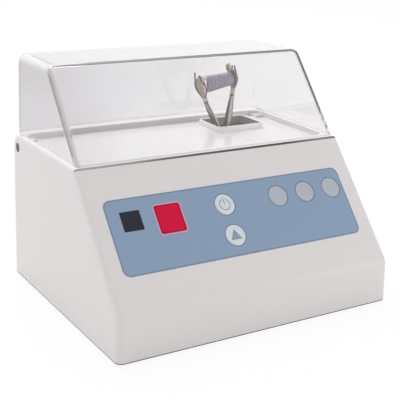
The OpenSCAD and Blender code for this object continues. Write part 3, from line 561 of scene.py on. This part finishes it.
def full_turn(steps):
    """Angles evenly round a circle, without the last, which is the first again."""
    return np.linspace(0, 2 * math.pi, steps, endpoint=False)


def turned_on_slope(name, profile, at):
    """A turned shape whose axis stands out of the slope at a place: each [radius, out]
    of its profile goes round a circle."""
    radius, out = np.array(profile, float).T
    across = at[0] + radius[:, None] * np.cos(full_turn(KEY_STEPS))
    down = at[1] + radius[:, None] * np.sin(full_turn(KEY_STEPS))
    return grid_mesh(name, on_slope(across, down, out[:, None]), closed_columns=True)


key_pale = plastic("key_pale", tone(213, 220, 226), 0.30, 0.015, 0.04, 0.4)
key_blue = plastic("key_blue", tone(176, 182, 194), 0.30, 0.02, 0.04, 0.4)
symbol_ink = plastic("symbol_ink", tone(142, 152, 172), 0.4, 0.02, 0.0)
fine_ink = plastic("fine_ink", tone(112, 112, 124), 0.4, 0.02, 0.0)
# Painted shade in a thin ring round each key, on the film
key_ring_shade = plastic("key_ring_shade", tone(118, 137, 162), 0.4, 0.02, 0.0)
circle = np.stack([np.cos(full_turn(KEY_STEPS)), np.sin(full_turn(KEY_STEPS))], -1)
for node, at in KEY_PLACES.items():
    cap_colour = key_blue if node.startswith("preset") else key_pale
    placed(turned_on_slope(node + "_cap", KEY_PROFILE, at), cap_colour, node + "_body",
           [node])
    surround = slope_ring(node + "_surround", circle * SURROUND_R[0], circle * SURROUND_R[1],
                          at, INK_LOW, INK_OUT)
    placed(surround, key_ring_shade, "housing_group")


# Symbols printed on the power key and the start key: the usual broken ring with a bar,
# and a plain triangle. Outlines are in millimetres about the key's middle, across and
# down the slope.
SYMBOL_LOW = 0.0
SYMBOL_HIGH = 0.10
ARC_R = (4.3, 3.85)
ARC_GAP = math.radians(20)
POWER_BAR = np.array([(-0.24, -5.5), (0.24, -5.5), (0.24, -0.5), (-0.24, -0.5)])
START_TRIANGLE = np.array([(-4.6, 3.2), (4.6, 3.2), (0.0, -4.6)])

sweep = np.linspace(ARC_GAP, 2 * math.pi - ARC_GAP, 40)
arc = np.stack([np.sin(sweep), -np.cos(sweep)], -1)
power_arc = np.concatenate([arc * ARC_R[0], arc[::-1] * ARC_R[1]])
for name, outline, key, ink in (("power_arc", power_arc, "power_key", fine_ink),
                                ("power_bar", POWER_BAR, "power_key", fine_ink),
                                ("start_triangle", START_TRIANGLE, "start_key", symbol_ink)):
    symbol = flat_outline(name, outline, KEY_PLACES[key], SYMBOL_LOW, SYMBOL_HIGH)
    placed(symbol, ink, key + "_body")


# Control board: a green lacquered circuit board under the slope, held by four screws.
lacquer = plastic("board_lacquer", tone(32, 92, 58), 0.25, 0.12, 0.08, 1.2,
                  Coat_Weight=0.4, Coat_Roughness=0.15)
bright_screw = plastic("screw_steel", tone(170, 171, 175), 0.30, 0.03, 0.05, 0.3,
                       Metallic=1.0)


def reshaded(nodes, material, body, bevel=0.2 * MM):
    """Dresses CAD nodes by copies with merged flats and rounded edges."""
    for node in nodes:
        piece = placed(merged_copy(node, node + "_dressed"), material, body, [node])
        soft_edges(piece, bevel)


reshaded(["control_board"], lacquer, "housing_group", 0.1 * MM)
reshaded([f"board_screw_{i}" for i in range(1, 5)], bright_screw, "housing_group")


# Base: a painted sheet-steel bottom cover with vents, four screws and rubber feet.
paint = plastic("base_paint", tone(196, 197, 198), 0.45, 0.02, 0.12, 0.35)
rubber = plastic("foot_rubber", tone(46, 46, 48), 0.70, 0.06, 0.20, 0.4)
reshaded(["base_plate"], paint, "housing_group")
reshaded([f"foot_{i}" for i in range(1, 5)] + [f"chassis_mount_{i}" for i in range(1, 5)],
         rubber, "housing_group", 0.4 * MM)
reshaded([f"base_screw_{i}" for i in range(1, 5)], bright_screw, "housing_group")


# Base shadow ring: a thin dark strip under the housing's lower edge that stands in for
# the shadow in the gap beneath it, and shows as the line along the foot of the front and
# sides. It is a ring with four flat sides.
SHADOW_RING_OUTER = (0.25 * MM, 4.9 * MM)
SHADOW_RING_INNER = (2.5 * MM, 2.9 * MM)
SHADOW_RING_Z = (0.00235, 0.00305)
SHADOW_LINE_BROWN = tone(96, 84, 82)


def round_the_foot(inset, radius, z):
    """A level loop at a height, inset from the housing's foot, with round corners."""
    loop = rounded_loop(2 * (HALF_W - inset), 2 * (HALF_D - inset), radius)
    return np.concatenate([loop, np.full((len(loop), 1), z)], axis=1)


shadow_ring = np.stack([round_the_foot(*SHADOW_RING_INNER, SHADOW_RING_Z[0]), round_the_foot(*SHADOW_RING_OUTER, SHADOW_RING_Z[0]),
                 round_the_foot(*SHADOW_RING_OUTER, SHADOW_RING_Z[1]), round_the_foot(*SHADOW_RING_INNER, SHADOW_RING_Z[1])])
# A dark brown painted shadow for the gap under the housing
base_painted_shadow = plastic("base_painted_shadow", SHADOW_LINE_BROWN, 0.6, 0.06, 0.1, 0.5)
placed(grid_mesh("base_shadow_ring", shadow_ring, closed_rows=True, closed_columns=True), base_painted_shadow,
       "housing_group")


# Deck strip: a thin dark strip along the top edge of the slope, under the cover's front
# lip, that stands in for the shadow line there; its painted shade is lighter towards the
# ends. It follows the round edge, and at each end it is bent on round the housing's corner.
STRIP_AXIS = (-18.63, 110.0)
STRIP_HALF_W = 107.56
STRIP_R = 3.05
STRIP_BACK_R = 2.80
STRIP_FROM = math.radians(100)
STRIP_TO = math.radians(140)
STRIP_BEND = math.radians(54)
STRIP_STEPS = 9
# Painted shade along the strip: darkest in the middle, lighter towards the ends
STRIP_SHADE_RAMP = [(0.0, (166, 155, 155)), (0.2, (154, 144, 142)), (0.32, (106, 92, 90)),
              (0.55, (66, 52, 50)), (0.78, (66, 54, 52)), (0.9, (126, 116, 116)),
              (1.0, (112, 102, 103))]


def width_ramp(tree, place, colours):
    """A colour ramp along the object's width, from stops of [share, colour]."""
    split = new_node(tree, "ShaderNodeSeparateXYZ")
    tree.links.new(place, split.inputs[0])
    share = new_node(tree, "ShaderNodeMapRange")
    share.inputs["From Min"].default_value = -HALF_W
    share.inputs["From Max"].default_value = HALF_W
    tree.links.new(split.outputs["X"], share.inputs["Value"])
    ramp = new_node(tree, "ShaderNodeValToRGB")
    stops = ramp.color_ramp.elements
    while len(stops) < len(colours):
        stops.new(0.5)
    for stop, (at, seen) in zip(stops, colours):
        stop.position = at
        stop.color = (*tone(*seen), 1.0)
    tree.links.new(share.outputs["Result"], ramp.inputs["Fac"])
    return ramp.outputs["Color"]


def round_the_edge(radius, around, bend):
    """Points radius off STRIP_AXIS, a line of [back, up] across the housing: around it
    in its side view, and past the line's ends bent round them by bend, as on a ball."""
    reach = radius * np.cos(bend)
    across = np.sign(bend) * STRIP_HALF_W + radius * np.sin(bend)
    return np.stack([across, STRIP_AXIS[0] + reach * np.cos(around),
                     STRIP_AXIS[1] + reach * np.sin(around)], -1) * MM


# The bends start just off the middle, as a bend's sign says on which side a point lies
right_bend = np.linspace(math.radians(1e-3), STRIP_BEND, 12)
strip_bend = np.concatenate([-right_bend[::-1], right_bend])[:, None]
outside = np.linspace(STRIP_FROM, STRIP_TO, STRIP_STEPS)
strip_around = np.concatenate([outside, [STRIP_TO, STRIP_FROM]])
strip_radius = np.where(np.arange(len(strip_around)) < STRIP_STEPS, STRIP_R, STRIP_BACK_R)
strip = round_the_edge(strip_radius, strip_around, strip_bend)
for end in (0, -1):
    strip[end] = strip[end].mean(axis=0)
strip_painted_shadow = plastic("strip_painted_shadow", SHADOW_LINE_BROWN, 0.6, 0.05, 0.1, 0.5)
tree = strip_painted_shadow.node_tree
along_strip = new_node(tree, "ShaderNodeTexCoord").outputs["Object"]
tree.links.new(width_ramp(tree, along_strip, STRIP_SHADE_RAMP),
               tree.nodes["Principled BSDF"].inputs["Base Color"])
placed(grid_mesh("deck_strip", strip, closed_columns=True), strip_painted_shadow, "housing_group")


# Chassis: a steel plate on rubber mounts, with two upright plates that carry the
# motor and the rocker's pin.
sheet_steel = plastic("sheet_steel", tone(176, 177, 180), 0.38, 0.03, 0.10, 0.8, 0.06,
                      Metallic=1.0)
ground_steel = plastic("ground_steel", tone(188, 189, 192), 0.22, 0.02, 0.05, 0.3,
                       Metallic=1.0)
reshaded(["chassis_plate", "bearing_plate_front", "bearing_plate_rear"], sheet_steel,
         "housing_group", 0.3 * MM)
reshaded(["rocker_pin"], ground_steel, "housing_group")


# Motor: a drawn steel can with a black end cap. Its shaft turns a balanced disc
# whose offset pin drives the rocker through a small bearing.
can_steel = plastic("can_steel", tone(140, 141, 145), 0.34, 0.03, 0.06, 0.6, 0.05,
                    Metallic=1.0)
turned_brass = plastic("turned_brass", tone(196, 168, 112), 0.28, 0.04, 0.05, 0.3,
                       Metallic=1.0)
reshaded(["motor_can"], can_steel, "housing_group", 0.6 * MM)
reshaded(["motor_cap"], matt_black, "housing_group", 0.3 * MM)
reshaded(["motor_shaft", "crank_bearing"], ground_steel, "motor_rotor")
reshaded(["crank"], turned_brass, "motor_rotor", 0.3 * MM)


# Rocker: a cast lever that swings on the pin. Its forked tail takes the crank's
# bearing and its head carries the two arms.
warm_steel = plastic("warm_steel", tone(172, 160, 152), 0.28, 0.05, 0.05, 0.5, 0.06,
                     Metallic=0.85)
reshaded(["rocker"], warm_steel, "rocker_group", 0.3 * MM)
reshaded(["fork_pin_left", "fork_pin_right"], ground_steel, "rocker_group",
         0.15 * MM)


# Fork arms: two sprung channels of sheet steel, open outwards. Each narrows to a
# neck and then spreads into a leaf for the capsule's end, between two fingers.
PIVOT = np.array([0.058, 0.055, 0.083])
LEAN = math.radians(9.7)
# The arms' sizes are in millimetres in the rocker's upright frame. Knots are [height,
# value]: how far the web stands off the middle, how wide it is each way, and how deep
# its flanges are, with 1 for the rear one and -1 for the front one.
FOOT_UP = 18.0
NECK_UP = 57.0
LEAF_UP = 71.6
ARCH_DROP = 4.2
ARCH_FROM = 0.35
WEB_SHARE = 0.5
WEB_DISH = 0.5
DISH_HALF = 5
FOLD_BULGE = 0.25
FOLD_SPREAD = 0.09
FOLD_TUCK = 0.12
FLANGE_SPLAY = 0.4
SHEET = 0.9
WEB_X = {"left": [(18, 1.7), (21, 1.9), (30, 4.6), (36, 6.9), (44, 10.1), (52.5, 12.8),
                  (58.5, 13.4), (71.5, 13.4)],
         "right": [(18, 1.7), (21, 1.9), (36, 6.6), (52.5, 12.0), (58.5, 13.2), (71.5, 13.2)]}
WEB_HALF = [(18, 2.9), (24, 3.3), (38, 2.9), (46, 1.9), (50, 1.3), (54, 1.3), (58, 3.4),
            (62, 5.2), (66, 5.7), (70, 5.0), (71.5, 4.2)]
DEPTH = {("left", 1): [(18, 3.4), (24, 3.0), (36, 2.0), (46, 1.5), (52.5, 1.6), (57.5, 3.2),
                       (61, 4.0), (66.5, 4.0), (71.5, 2.4)],
         ("left", -1): [(18, 3.2), (24, 2.8), (36, 1.8), (46, 0.9), (52.5, 0.6), (58, 0.5),
                        (61, 0.7), (66, 2.2), (71.5, 4.0)],
         ("right", 1): [(18, 2.4), (24, 2.0), (36, 1.3), (46, 0.8), (52.5, 0.8), (58, 1.3),
                        (64, 1.6), (69, 1.4), (71.5, 1.0)],
         ("right", -1): [(18, 2.6), (24, 2.2), (36, 1.5), (46, 1.0), (52.5, 1.0), (58, 1.4),
                         (64, 1.6), (69, 1.4), (71.5, 1.0)]}
# Where the metal is painted dark as shade: along the folds, and on the right arm behind
# the web and on the leaf. A pair is a turn or a height, and how far the shade takes to fade from
# it.
STEM_FADE = 4
FOLD_LINE = (0.47, 0.07)
BEHIND_WEB = (0.36, 0.22)
BEHIND_LEAF = 0.3
LEAF_SHADE = 0.8
LEAF_PALE = (71.2, 2.5)
# The beads along the flanges' free edges, the fingers that they run out into, how much a
# plain and a broad finger is wider and thicker, and the rings about the neck
BEAD_R = 0.42
BEAD_OUT = 0.3
BEAD_FROM = 19.0
BEND_FROM = 64.0
FINGER_FROM = 66.0
FLANGE_TOP = 67.4
BROAD_FROM = 68.0
FINGER_GROWTH = 4
PLAIN_FINGER = (0.2, 0.12)
BROAD_FINGER = (1.8, 0.35)
TIP_POINT = 1e-4
TIP_SHARE = 0.7
NECK_OUT = 0.6
NECK_FLAT = 0.8
FINGER_TIPS = {("left", -1): (18.4, 4.0, 73.9), ("left", 1): (17.1, 5.0, 74.6),
               ("right", -1): (15.4, 2.4, 74.0), ("right", 1): (13.3, 3.6, 74.9)}
COLLAR = [(0, 50.6), (1.9, 50.6), (2.25, 51.0), (2.3, 53.0), (2.0, 54.2), (0, 54.2)]
GROOVE = [(0, 49.4), (1.9, 49.4), (2.15, 49.7), (2.15, 50.4), (1.9, 50.7), (0, 50.7)]


def on_rocker(across, back, up):
    """Points given in mm in the rocker's upright frame, which leans to the left."""
    across, back, up = np.broadcast_arrays(across, back, up)
    c, s = math.cos(LEAN), math.sin(LEAN)
    return PIVOT + MM * np.stack([across * c - up * s, back, across * s + up * c], -1)


def arm_curve(height, knots):
    """A smooth curve of height through knots of [height, value], and level past them:
    a cubic on each stretch whose slope at a knot is the mean of its two chords."""
    at, value = np.array(knots, float).T
    chord = np.diff(value) / np.diff(at)
    slope = np.concatenate([[chord[0]], (chord[:-1] + chord[1:]) / 2, [chord[-1]]])
    i = np.clip(np.searchsorted(at, height) - 1, 0, len(chord) - 1)
    span = at[i + 1] - at[i]
    t = np.clip((height - at[i]) / span, 0, 1)
    return (value[i] * (1 + 2 * t) * (1 - t) ** 2 + value[i + 1] * t * t * (3 - 2 * t)
            + slope[i] * span * t * (1 - t) ** 2 - slope[i + 1] * span * t * t * (1 - t))


def darkened(side, turn, height, out):
    """How much painted shade the metal has: along the free edges, down the stem's folds and,
    on the right, behind the web and on the leaf. Each fades with its distance, and the
    darkest of them holds."""
    stem = np.clip((NECK_UP - height) / STEM_FADE, 0, 1)
    fold = stem * np.exp(-((np.abs(turn) - FOLD_LINE[0]) / FOLD_LINE[1]) ** 2)
    if side < 0:
        return np.maximum(out ** 4, fold)
    behind = np.clip((BEHIND_WEB[0] - turn) / BEHIND_WEB[1], 0, 1)
    behind = behind * (BEHIND_LEAF + (1 - BEHIND_LEAF) * stem)
    leaf = LEAF_SHADE * (1 - stem) * np.clip((LEAF_PALE[0] - height) / LEAF_PALE[1], 0, 1)
    return np.maximum(np.maximum(out ** 3, behind), leaf)


def channel(name, side):
    """An arm's sheet on a grid: turn runs across its section from the rear flange's free
    edge, at -1, round the web, whose folds are at WEB_SHARE each way, to the front
    flange's free edge. Height runs from FOOT_UP to a top edge that is an arch. Returns
    the points and how much painted shade the metal has at each."""
    rise = np.linspace(0, 1, 90)[:, None]
    turn = np.linspace(-1, 1, 61)[None, :]
    beside = np.abs(turn)
    arch = np.clip((beside - ARCH_FROM) / (1 - ARCH_FROM), 0, 1) ** 1.5
    height = FOOT_UP + rise * (LEAF_UP - ARCH_DROP * arch - FOOT_UP)
    half = arm_curve(height, WEB_HALF)
    deep = np.where(turn < 0, arm_curve(height, DEPTH[name, 1]),
                    arm_curve(height, DEPTH[name, -1]))
    over_web = np.clip(beside / WEB_SHARE, 0, 1)
    out = np.clip((beside - WEB_SHARE) / (1 - WEB_SHARE), 0, 1)
    bulge = FOLD_BULGE * np.exp(-((beside - WEB_SHARE) / FOLD_SPREAD) ** 2)
    back = -np.sign(turn) * (half * (over_web - FOLD_TUCK * bulge) + FLANGE_SPLAY * out ** 2)
    across = arm_curve(height, WEB_X[name]) + deep * out + bulge
    across = across + WEB_DISH * (1 - over_web ** 2) * (half / DISH_HALF)
    return on_rocker(side * across, back, height), darkened(side, turn, height, out)


def tube(path, wide, thick, steps=16):
    """A closed tube along a path in the rocker's frame, whose section is an ellipse of
    half axes wide across and thick back."""
    across = path[:, :1] + wide[:, None] * np.cos(full_turn(steps))
    back = path[:, 1:2] + thick[:, None] * np.sin(full_turn(steps))
    return on_rocker(across, back, path[:, 2:3])


def closed_ends(size):
    """A row of radii whose ends close to a point by way of a rounded tip."""
    size[[0, -1]] = TIP_POINT
    size[[1, -2]] *= TIP_SHARE
    return size


def rod(name, path, wide, thick, metal, body):
    """Places a closed tube with rounded ends, as a piece that rides on an arm. Its half
    axes are numbers or one for each point of its path."""
    wide, thick = (closed_ends(np.full(len(path), size)) for size in (wide, thick))
    points = tube(path, wide, thick)
    placed(grid_mesh(name, points, closed_columns=True), metal, body)


def bead_path(name, side, row, tip):
    """The line of a flange's free edge from the root up, and on along its finger to the
    tip, which is given as [across, back, up]: the two are joined by a smooth step."""
    height = np.concatenate([np.linspace(BEAD_FROM, FINGER_FROM, 48),
                             np.linspace(FINGER_FROM + 0.4, tip[2], 26)])
    low = np.minimum(height, FLANGE_TOP)
    across = arm_curve(low, WEB_X[name]) + arm_curve(low, DEPTH[name, row])
    back = arm_curve(low, WEB_HALF) + BEAD_OUT
    finger = np.clip((height - BEND_FROM) / (tip[2] - BEND_FROM), 0, 1)
    ease = finger * finger * (3 - 2 * finger)
    across = across + (tip[0] - across) * ease
    back = back + (tip[1] - back) * ease
    return np.stack([side * across, row * back, height], -1)


def shade_painted_metal(name, colour, shade_tone):
    """A metal that the attribute "edge" turns from its colour to a darker one, as painted shade.
    """
    material = plastic(name, colour, 0.3, 0.06, 0.06, 0.5, 0.08, Metallic=0.75)
    tree = material.node_tree
    shader = tree.nodes["Principled BSDF"]
    clean = shader.inputs["Base Color"].links[0].from_socket
    reach = new_node(tree, "ShaderNodeAttribute", attribute_name="edge")
    blend = new_node(tree, "ShaderNodeMix", data_type="RGBA")
    blend.inputs["B"].default_value = (*shade_tone, 1.0)
    tree.links.new(reach.outputs["Fac"], blend.inputs["Factor"])
    tree.links.new(clean, blend.inputs["A"])
    tree.links.new(blend.outputs["Result"], shader.inputs["Base Color"])
    return material


# The arms' steel is painted dark as shade along the folds, the free edges, behind the web and on
# the leaf
arm_steel = shade_painted_metal("arm_steel", tone(206, 194, 184), tone(70, 57, 55))
# The beads, the neck's groove, the lip and the tongue are a dark steel: painted shade along the
# free edges and in the gaps
bead_shade_steel = plastic("bead_shade_steel", tone(78, 64, 62), 0.3, 0.08, 0.05, 0.4, Metallic=0.6)
finger_steel = plastic("finger_steel", tone(190, 172, 160), 0.3, 0.08, 0.05, 0.4, Metallic=0.7)
for name, side in (("left", -1), ("right", 1)):
    body = f"arm_{name}_body"
    points, painted_shade = channel(name, side)
    sheet = grid_mesh("arm_sheet_" + name, points)
    if side > 0:
        sheet.flip_normals()
    layer = sheet.attributes.new("edge", "FLOAT", "POINT")
    painted_shade = np.broadcast_to(painted_shade, points.shape[:2]).astype(np.float32)
    layer.data.foreach_set("value", painted_shade.ravel())
    arm = placed(sheet, arm_steel, body, ["fork_arm_" + name])
    wall = arm.modifiers.new("wall", "SOLIDIFY")
    wall.thickness = SHEET * MM
    wall.offset = 0.0
    for edge, row in (("front", -1), ("rear", 1)):
        path = bead_path(name, side, row, FINGER_TIPS[name, row])
        finger = np.clip((path[:, 2] - FINGER_FROM) / FINGER_GROWTH, 0, 1)
        broad = side > 0 and row > 0
        wider, thicker = BROAD_FINGER if broad else PLAIN_FINGER
        wide = BEAD_R + finger * wider
        thick = BEAD_R + finger * thicker
        below = np.full(len(path), True)
        if broad:
            below = path[:, 2] < BROAD_FROM
            rod(f"arm_finger_{name}_{edge}", path[~below], wide[~below], thick[~below],
                finger_steel, body)
        rod(f"arm_bead_{name}_{edge}", path[below], wide[below], thick[below], bead_shade_steel, body)
    for part, profile, metal in (("collar", COLLAR, finger_steel), ("groove", GROOVE, bead_shade_steel)):
        radius, up = np.array(profile).T[:, :, None]
        middle = side * (arm_curve(up, WEB_X[name]) + NECK_OUT)
        ring = on_rocker(middle + radius * NECK_FLAT * np.cos(full_turn(32)),
                         radius * np.sin(full_turn(32)), up)
        placed(grid_mesh(f"arm_{part}_{name}", ring, closed_columns=True), metal, body)

# The right leaf's top is rolled over the capsule's end, and a spring tongue stands
# between its fingers; both are dark as painted shade. Each is a rod along a line of
# [across, back, up].
along = np.linspace(-1, 1, 24)
lip = np.stack(np.broadcast_arrays(12.9, 3.9 * along, 70.5 - along ** 2), -1)
rod("arm_lip_right", lip, 0.55, 0.5, bead_shade_steel, "arm_right_body")
rise = np.linspace(69.5, 73.7, 14)
tongue = np.stack(np.broadcast_arrays(14.9, 0.3, rise), -1)
rod("arm_tongue_right", tongue, 0.75, 0.6, bead_shade_steel, "arm_right_body")


# Capsule: the two-part plastic capsule that is shaken, held between the leaves. Its
# body tapers and has grip rings, and its cap is pushed over the left end. Its axis sinks
# a little to the right. Sizes are in millimetres, along it from its middle.
CAPSULE_HALF = 13.0
CAPSULE_LEFT_UP = 64.3
CAPSULE_TILT = 0.036
CAP_END = -7.0
CAP_R = 6.6
CAP_PROFILE = [(-CAPSULE_HALF, 0), (-CAPSULE_HALF, 5.3), (-12.8, 5.9), (-12.4, 6.3),
               (-11.8, CAP_R), (-9.4, CAP_R), (-9.15, 6.35), (-8.9, CAP_R),
               (-7.6, CAP_R), (-7.2, 6.5), (CAP_END, 6.2), (CAP_END, 0)]
BODY_R = (6.5, 5.4)
BODY_FROM = CAP_END + 0.1
RING_FROM = CAP_END + 0.6
RING_STEP = 3.2
RING_H = 0.5
NOSE_LENGTH = 0.9
NOSE_SHARE = 0.14


def on_capsule(along, radius, steps=72):
    """A shape turned about the capsule's axis, from places along it and radii."""
    along, radius = np.asarray(along)[:, None], np.asarray(radius)[:, None]
    axis_up = CAPSULE_LEFT_UP - CAPSULE_TILT * (along + CAPSULE_HALF)
    return on_rocker(along, radius * np.cos(full_turn(steps)),
                     axis_up + radius * np.sin(full_turn(steps)))


def ringed_body(steps=150):
    """The capsule body's places along its axis and radii: a straight taper, ridges as
    high as a sine is far from zero, and a rounded nose at the right end."""
    along = np.linspace(BODY_FROM, CAPSULE_HALF, steps)
    share = (along - BODY_FROM) / (CAPSULE_HALF - BODY_FROM)
    ridge = np.abs(np.sin(math.pi * (along - RING_FROM) / RING_STEP))
    radius = BODY_R[0] + (BODY_R[1] - BODY_R[0]) * share - RING_H * (1 - ridge)
    nose = np.sqrt(np.clip((CAPSULE_HALF - along) / NOSE_LENGTH, 0, 1))
    radius *= 1 - NOSE_SHARE * (1 - nose)
    return (np.concatenate([[BODY_FROM], along, [CAPSULE_HALF]]),
            np.concatenate([[0], radius, [0]]))


capsule_plastic = plastic("capsule_plastic", tone(136, 130, 147), 0.36, 0.03, 0.05, 0.5)
cap_plastic = plastic("cap_plastic", tone(133, 120, 143), 0.36, 0.03, 0.05, 0.5)
barrel = grid_mesh("capsule_barrel", on_capsule(*ringed_body()), closed_columns=True)
placed(barrel, capsule_plastic, "rocker_group", ["capsule_body"])
lid = grid_mesh("capsule_lid", on_capsule(*np.array(CAP_PROFILE).T), closed_columns=True)
placed(lid, cap_plastic, "rocker_group", ["capsule_cap"])


# Transformer and power board: a laminated core with its wound coil, and a small
# board on pillars, both on the base plate.
laminations = plastic("laminations", tone(74, 75, 80), 0.42, 0.08, 0.25, 0.5, Metallic=0.7)
enamel_wire = plastic("enamel_wire", tone(176, 104, 46), 0.32, 0.10, 0.35, 0.8,
                      Coat_Weight=0.4)
reshaded(["transformer_core"], laminations, "housing_group", 0.3 * MM)
reshaded(["transformer_coil"], enamel_wire, "housing_group", 0.5 * MM)
reshaded(["power_board"], lacquer, "housing_group", 0.3 * MM)


# Mains inlet: a black three-blade socket screwed into the rear wall.
reshaded(["mains_inlet"], matt_black, "housing_group", 0.3 * MM)
reshaded(["inlet_screw_1", "inlet_screw_2"], bright_screw, "housing_group")


# Cover: one clear acrylic moulding that is hinged at its rear corners. It is a little
# grey and hazed by use, so its walls show against the white. Its edges and its left side
# are greyed by painted shade, and its foot and left top edge paled by painted light.
COVER_FOOT_Z = 0.1133
COVER_TOP_Z = 0.173
# The copy stands out to the photograph's outline: from its foot to its top it widens by
# COVER_WIDER on each side, and what lies before COVER_REAR_Y leans out by COVER_FORWARD
COVER_REAR_Y = 0.060
COVER_WIDER = 0.0020
COVER_FORWARD = 0.0040
COVER_SHARP_DEG = 40.0
# How far each wall's outside stands from the middle, at its foot and at its top, along
# the axis that it faces, after the copy is widened
COVER_WALLS = {"left": (0, -1, 0.107979, 0.106990), "right": (0, 1, 0.107979, 0.106990),
               "front": (1, -1, 0.019796, -0.030504), "rear": (1, 1, 0.089817, 0.089131)}
HAZE = 0.03
PANE_COLOUR = (0.997, 0.997, 0.998)
# The tint is greyer at the left as painted shade
TINT_AND_SHADE = [(0.0, (226, 224, 227)), (0.2, (236, 235, 237)), (0.5, (242, 241, 242)),
        (1.0, (248, 247, 247))]
# Bands of the acrylic that differ from the rest. Each has the places where two walls are
# both near, as [wall, within, wall, within] in metres, its tint, and how much it passes:
# the left top, greyed by painted shade; the top, lighter; the foot and the left top edge,
# milky and paled by painted light; the bends, darkened by painted shade.
BANDS = [([("left", 0.002, "top", 0.040)],
          [(0.0, (208, 202, 203)), (1.0, (226, 224, 227))], 1.0 - HAZE),
         ([("top", 0.003, "top", 0.003)],
          [(0.0, (246, 246, 248)), (1.0, (253, 253, 254))], 1.0 - HAZE),
         ([("left", 0.0085, "top", 0.0085), ("left", 0.003, "foot", 0.002),
           ("right", 0.003, "foot", 0.002), ("front", 0.003, "foot", 0.003),
           ("rear", 0.003, "foot", 0.002)],
          [(0.0, (240, 240, 242)), (1.0, (254, 254, 254))], 0.25),
         ([("left", 0.0045, "front", 0.0048), ("right", 0.0016, "front", 0.008),
           ("front", 0.0018, "top", 0.0018), ("left", 0.006, "rear", 0.006)],
          [(0.0, (198, 190, 195)), (0.3, (184, 172, 174)), (0.7, (104, 88, 84)),
           (1.0, (72, 58, 54))], 0.15)]


def cover_flat(wall):
    """The plane of a wall's outside, as its unit normal and its distance from the
    origin. The normal of a wall that leans in rises by its lean over its height."""
    if wall == "top":
        return (0.0, 0.0, 1.0), COVER_TOP_Z
    if wall == "foot":
        return (0.0, 0.0, -1.0), -COVER_FOOT_Z
    axis, facing, foot, top = COVER_WALLS[wall]
    normal = np.array([0.0, 0.0, (foot - top) / (COVER_TOP_Z - COVER_FOOT_Z)])
    normal[axis] = facing
    length = math.hypot(*normal)
    reach = (foot + normal[2] * COVER_FOOT_Z) / length
    return (normal / length).tolist(), reach


def near_edges(tree, place, bands):
    """How near a point of the outside is to the nearest of bands, 1 in its middle and 0
    at its border: a band's distance is the larger of those to its two walls, each as a
    share of how far it reaches."""
    def gap(wall, reaches):
        normal, distance = cover_flat(wall)
        along = new_node(tree, "ShaderNodeVectorMath", operation="DOT_PRODUCT")
        tree.links.new(place, along.inputs[0])
        along.inputs[1].default_value = normal
        inwards = combined(tree, "SUBTRACT", distance, along.outputs["Value"])
        return combined(tree, "DIVIDE", inwards, reaches)

    nearest = None
    for one, one_reaches, other, other_reaches in bands:
        off = combined(tree, "MAXIMUM", gap(one, one_reaches), gap(other, other_reaches))
        nearest = off if nearest is None else combined(tree, "MINIMUM", nearest, off)
    fade = new_node(tree, "ShaderNodeMapRange", interpolation_type="SMOOTHSTEP")
    fade.inputs["From Min"].default_value = 1.0
    fade.inputs["From Max"].default_value = 0.0
    tree.links.new(nearest, fade.inputs["Value"])
    return fade.outputs["Result"]


def clear_acrylic():
    """A hazed glass that lamps and diffuse light pass as a thin pane. Its tint is a ramp
    along the cover's width, greyer at the left as painted shade. Each of the bands in
    turn is laid over it with a tint and a clearness of its own."""
    material = plastic("clear_acrylic", tone(247, 246, 248), 0.03, 0.006, 0.0, 1.0, 0.01,
                       Transmission_Weight=1.0 - HAZE, IOR=1.49)
    tree = material.node_tree
    shader = tree.nodes["Principled BSDF"]
    place = new_node(tree, "ShaderNodeTexCoord").outputs["Object"]
    tint, passes = width_ramp(tree, place, TINT_AND_SHADE), 1.0 - HAZE
    for places, colours, clear in BANDS:
        share = near_edges(tree, place, places)
        blend = new_node(tree, "ShaderNodeMix", data_type="RGBA")
        tree.links.new(share, blend.inputs["Factor"])
        tree.links.new(tint, blend.inputs["A"])
        tree.links.new(width_ramp(tree, place, colours), blend.inputs["B"])
        tint = blend.outputs["Result"]
        fade = new_node(tree, "ShaderNodeMapRange")
        tree.links.new(share, fade.inputs["Value"])
        feed(tree, fade.inputs["To Min"], passes)
        feed(tree, fade.inputs["To Max"], clear)
        passes = fade.outputs["Result"]
    tree.links.new(tint, shader.inputs["Base Color"])
    tree.links.new(passes, shader.inputs["Transmission Weight"])
    path = new_node(tree, "ShaderNodeLightPath").outputs
    passing = combined(tree, "MAXIMUM", path["Is Shadow Ray"], path["Is Diffuse Ray"])
    pane = new_node(tree, "ShaderNodeBsdfTransparent")
    pane.inputs["Color"].default_value = (*PANE_COLOUR, 1.0)
    seen = mixed(tree, passing, shader.outputs[0], pane.outputs[0])
    tree.links.new(seen, tree.nodes["Material Output"].inputs["Surface"])
    return material


cover_mesh = merged_copy("cover", "clear_cover")
places = read_rows(cover_mesh.vertices, "co")
risen = np.clip((places[:, 2] - COVER_FOOT_Z) / (COVER_TOP_Z - COVER_FOOT_Z), 0, 1)
places[:, 0] += np.sign(places[:, 0]) * COVER_WIDER * risen
places[:, 1] -= np.where(places[:, 1] < COVER_REAR_Y, COVER_FORWARD * risen, 0)
cover_mesh.vertices.foreach_set("co", places.ravel())
cover_mesh.update()
cover = placed(cover_mesh, clear_acrylic(), "cover_body", ["cover"])
soft_edges(cover, angle=COVER_SHARP_DEG)


# Hinge pins: dark steel pins pressed in from the sides, with their round heads let
# into the housing.
pin_steel = plastic("pin_steel", tone(92, 90, 92), 0.35, 0.04, 0.05, 0.4, Metallic=0.8)
reshaded(["hinge_pin_left", "hinge_pin_right"], pin_steel, "housing_group",
         0.3 * MM)
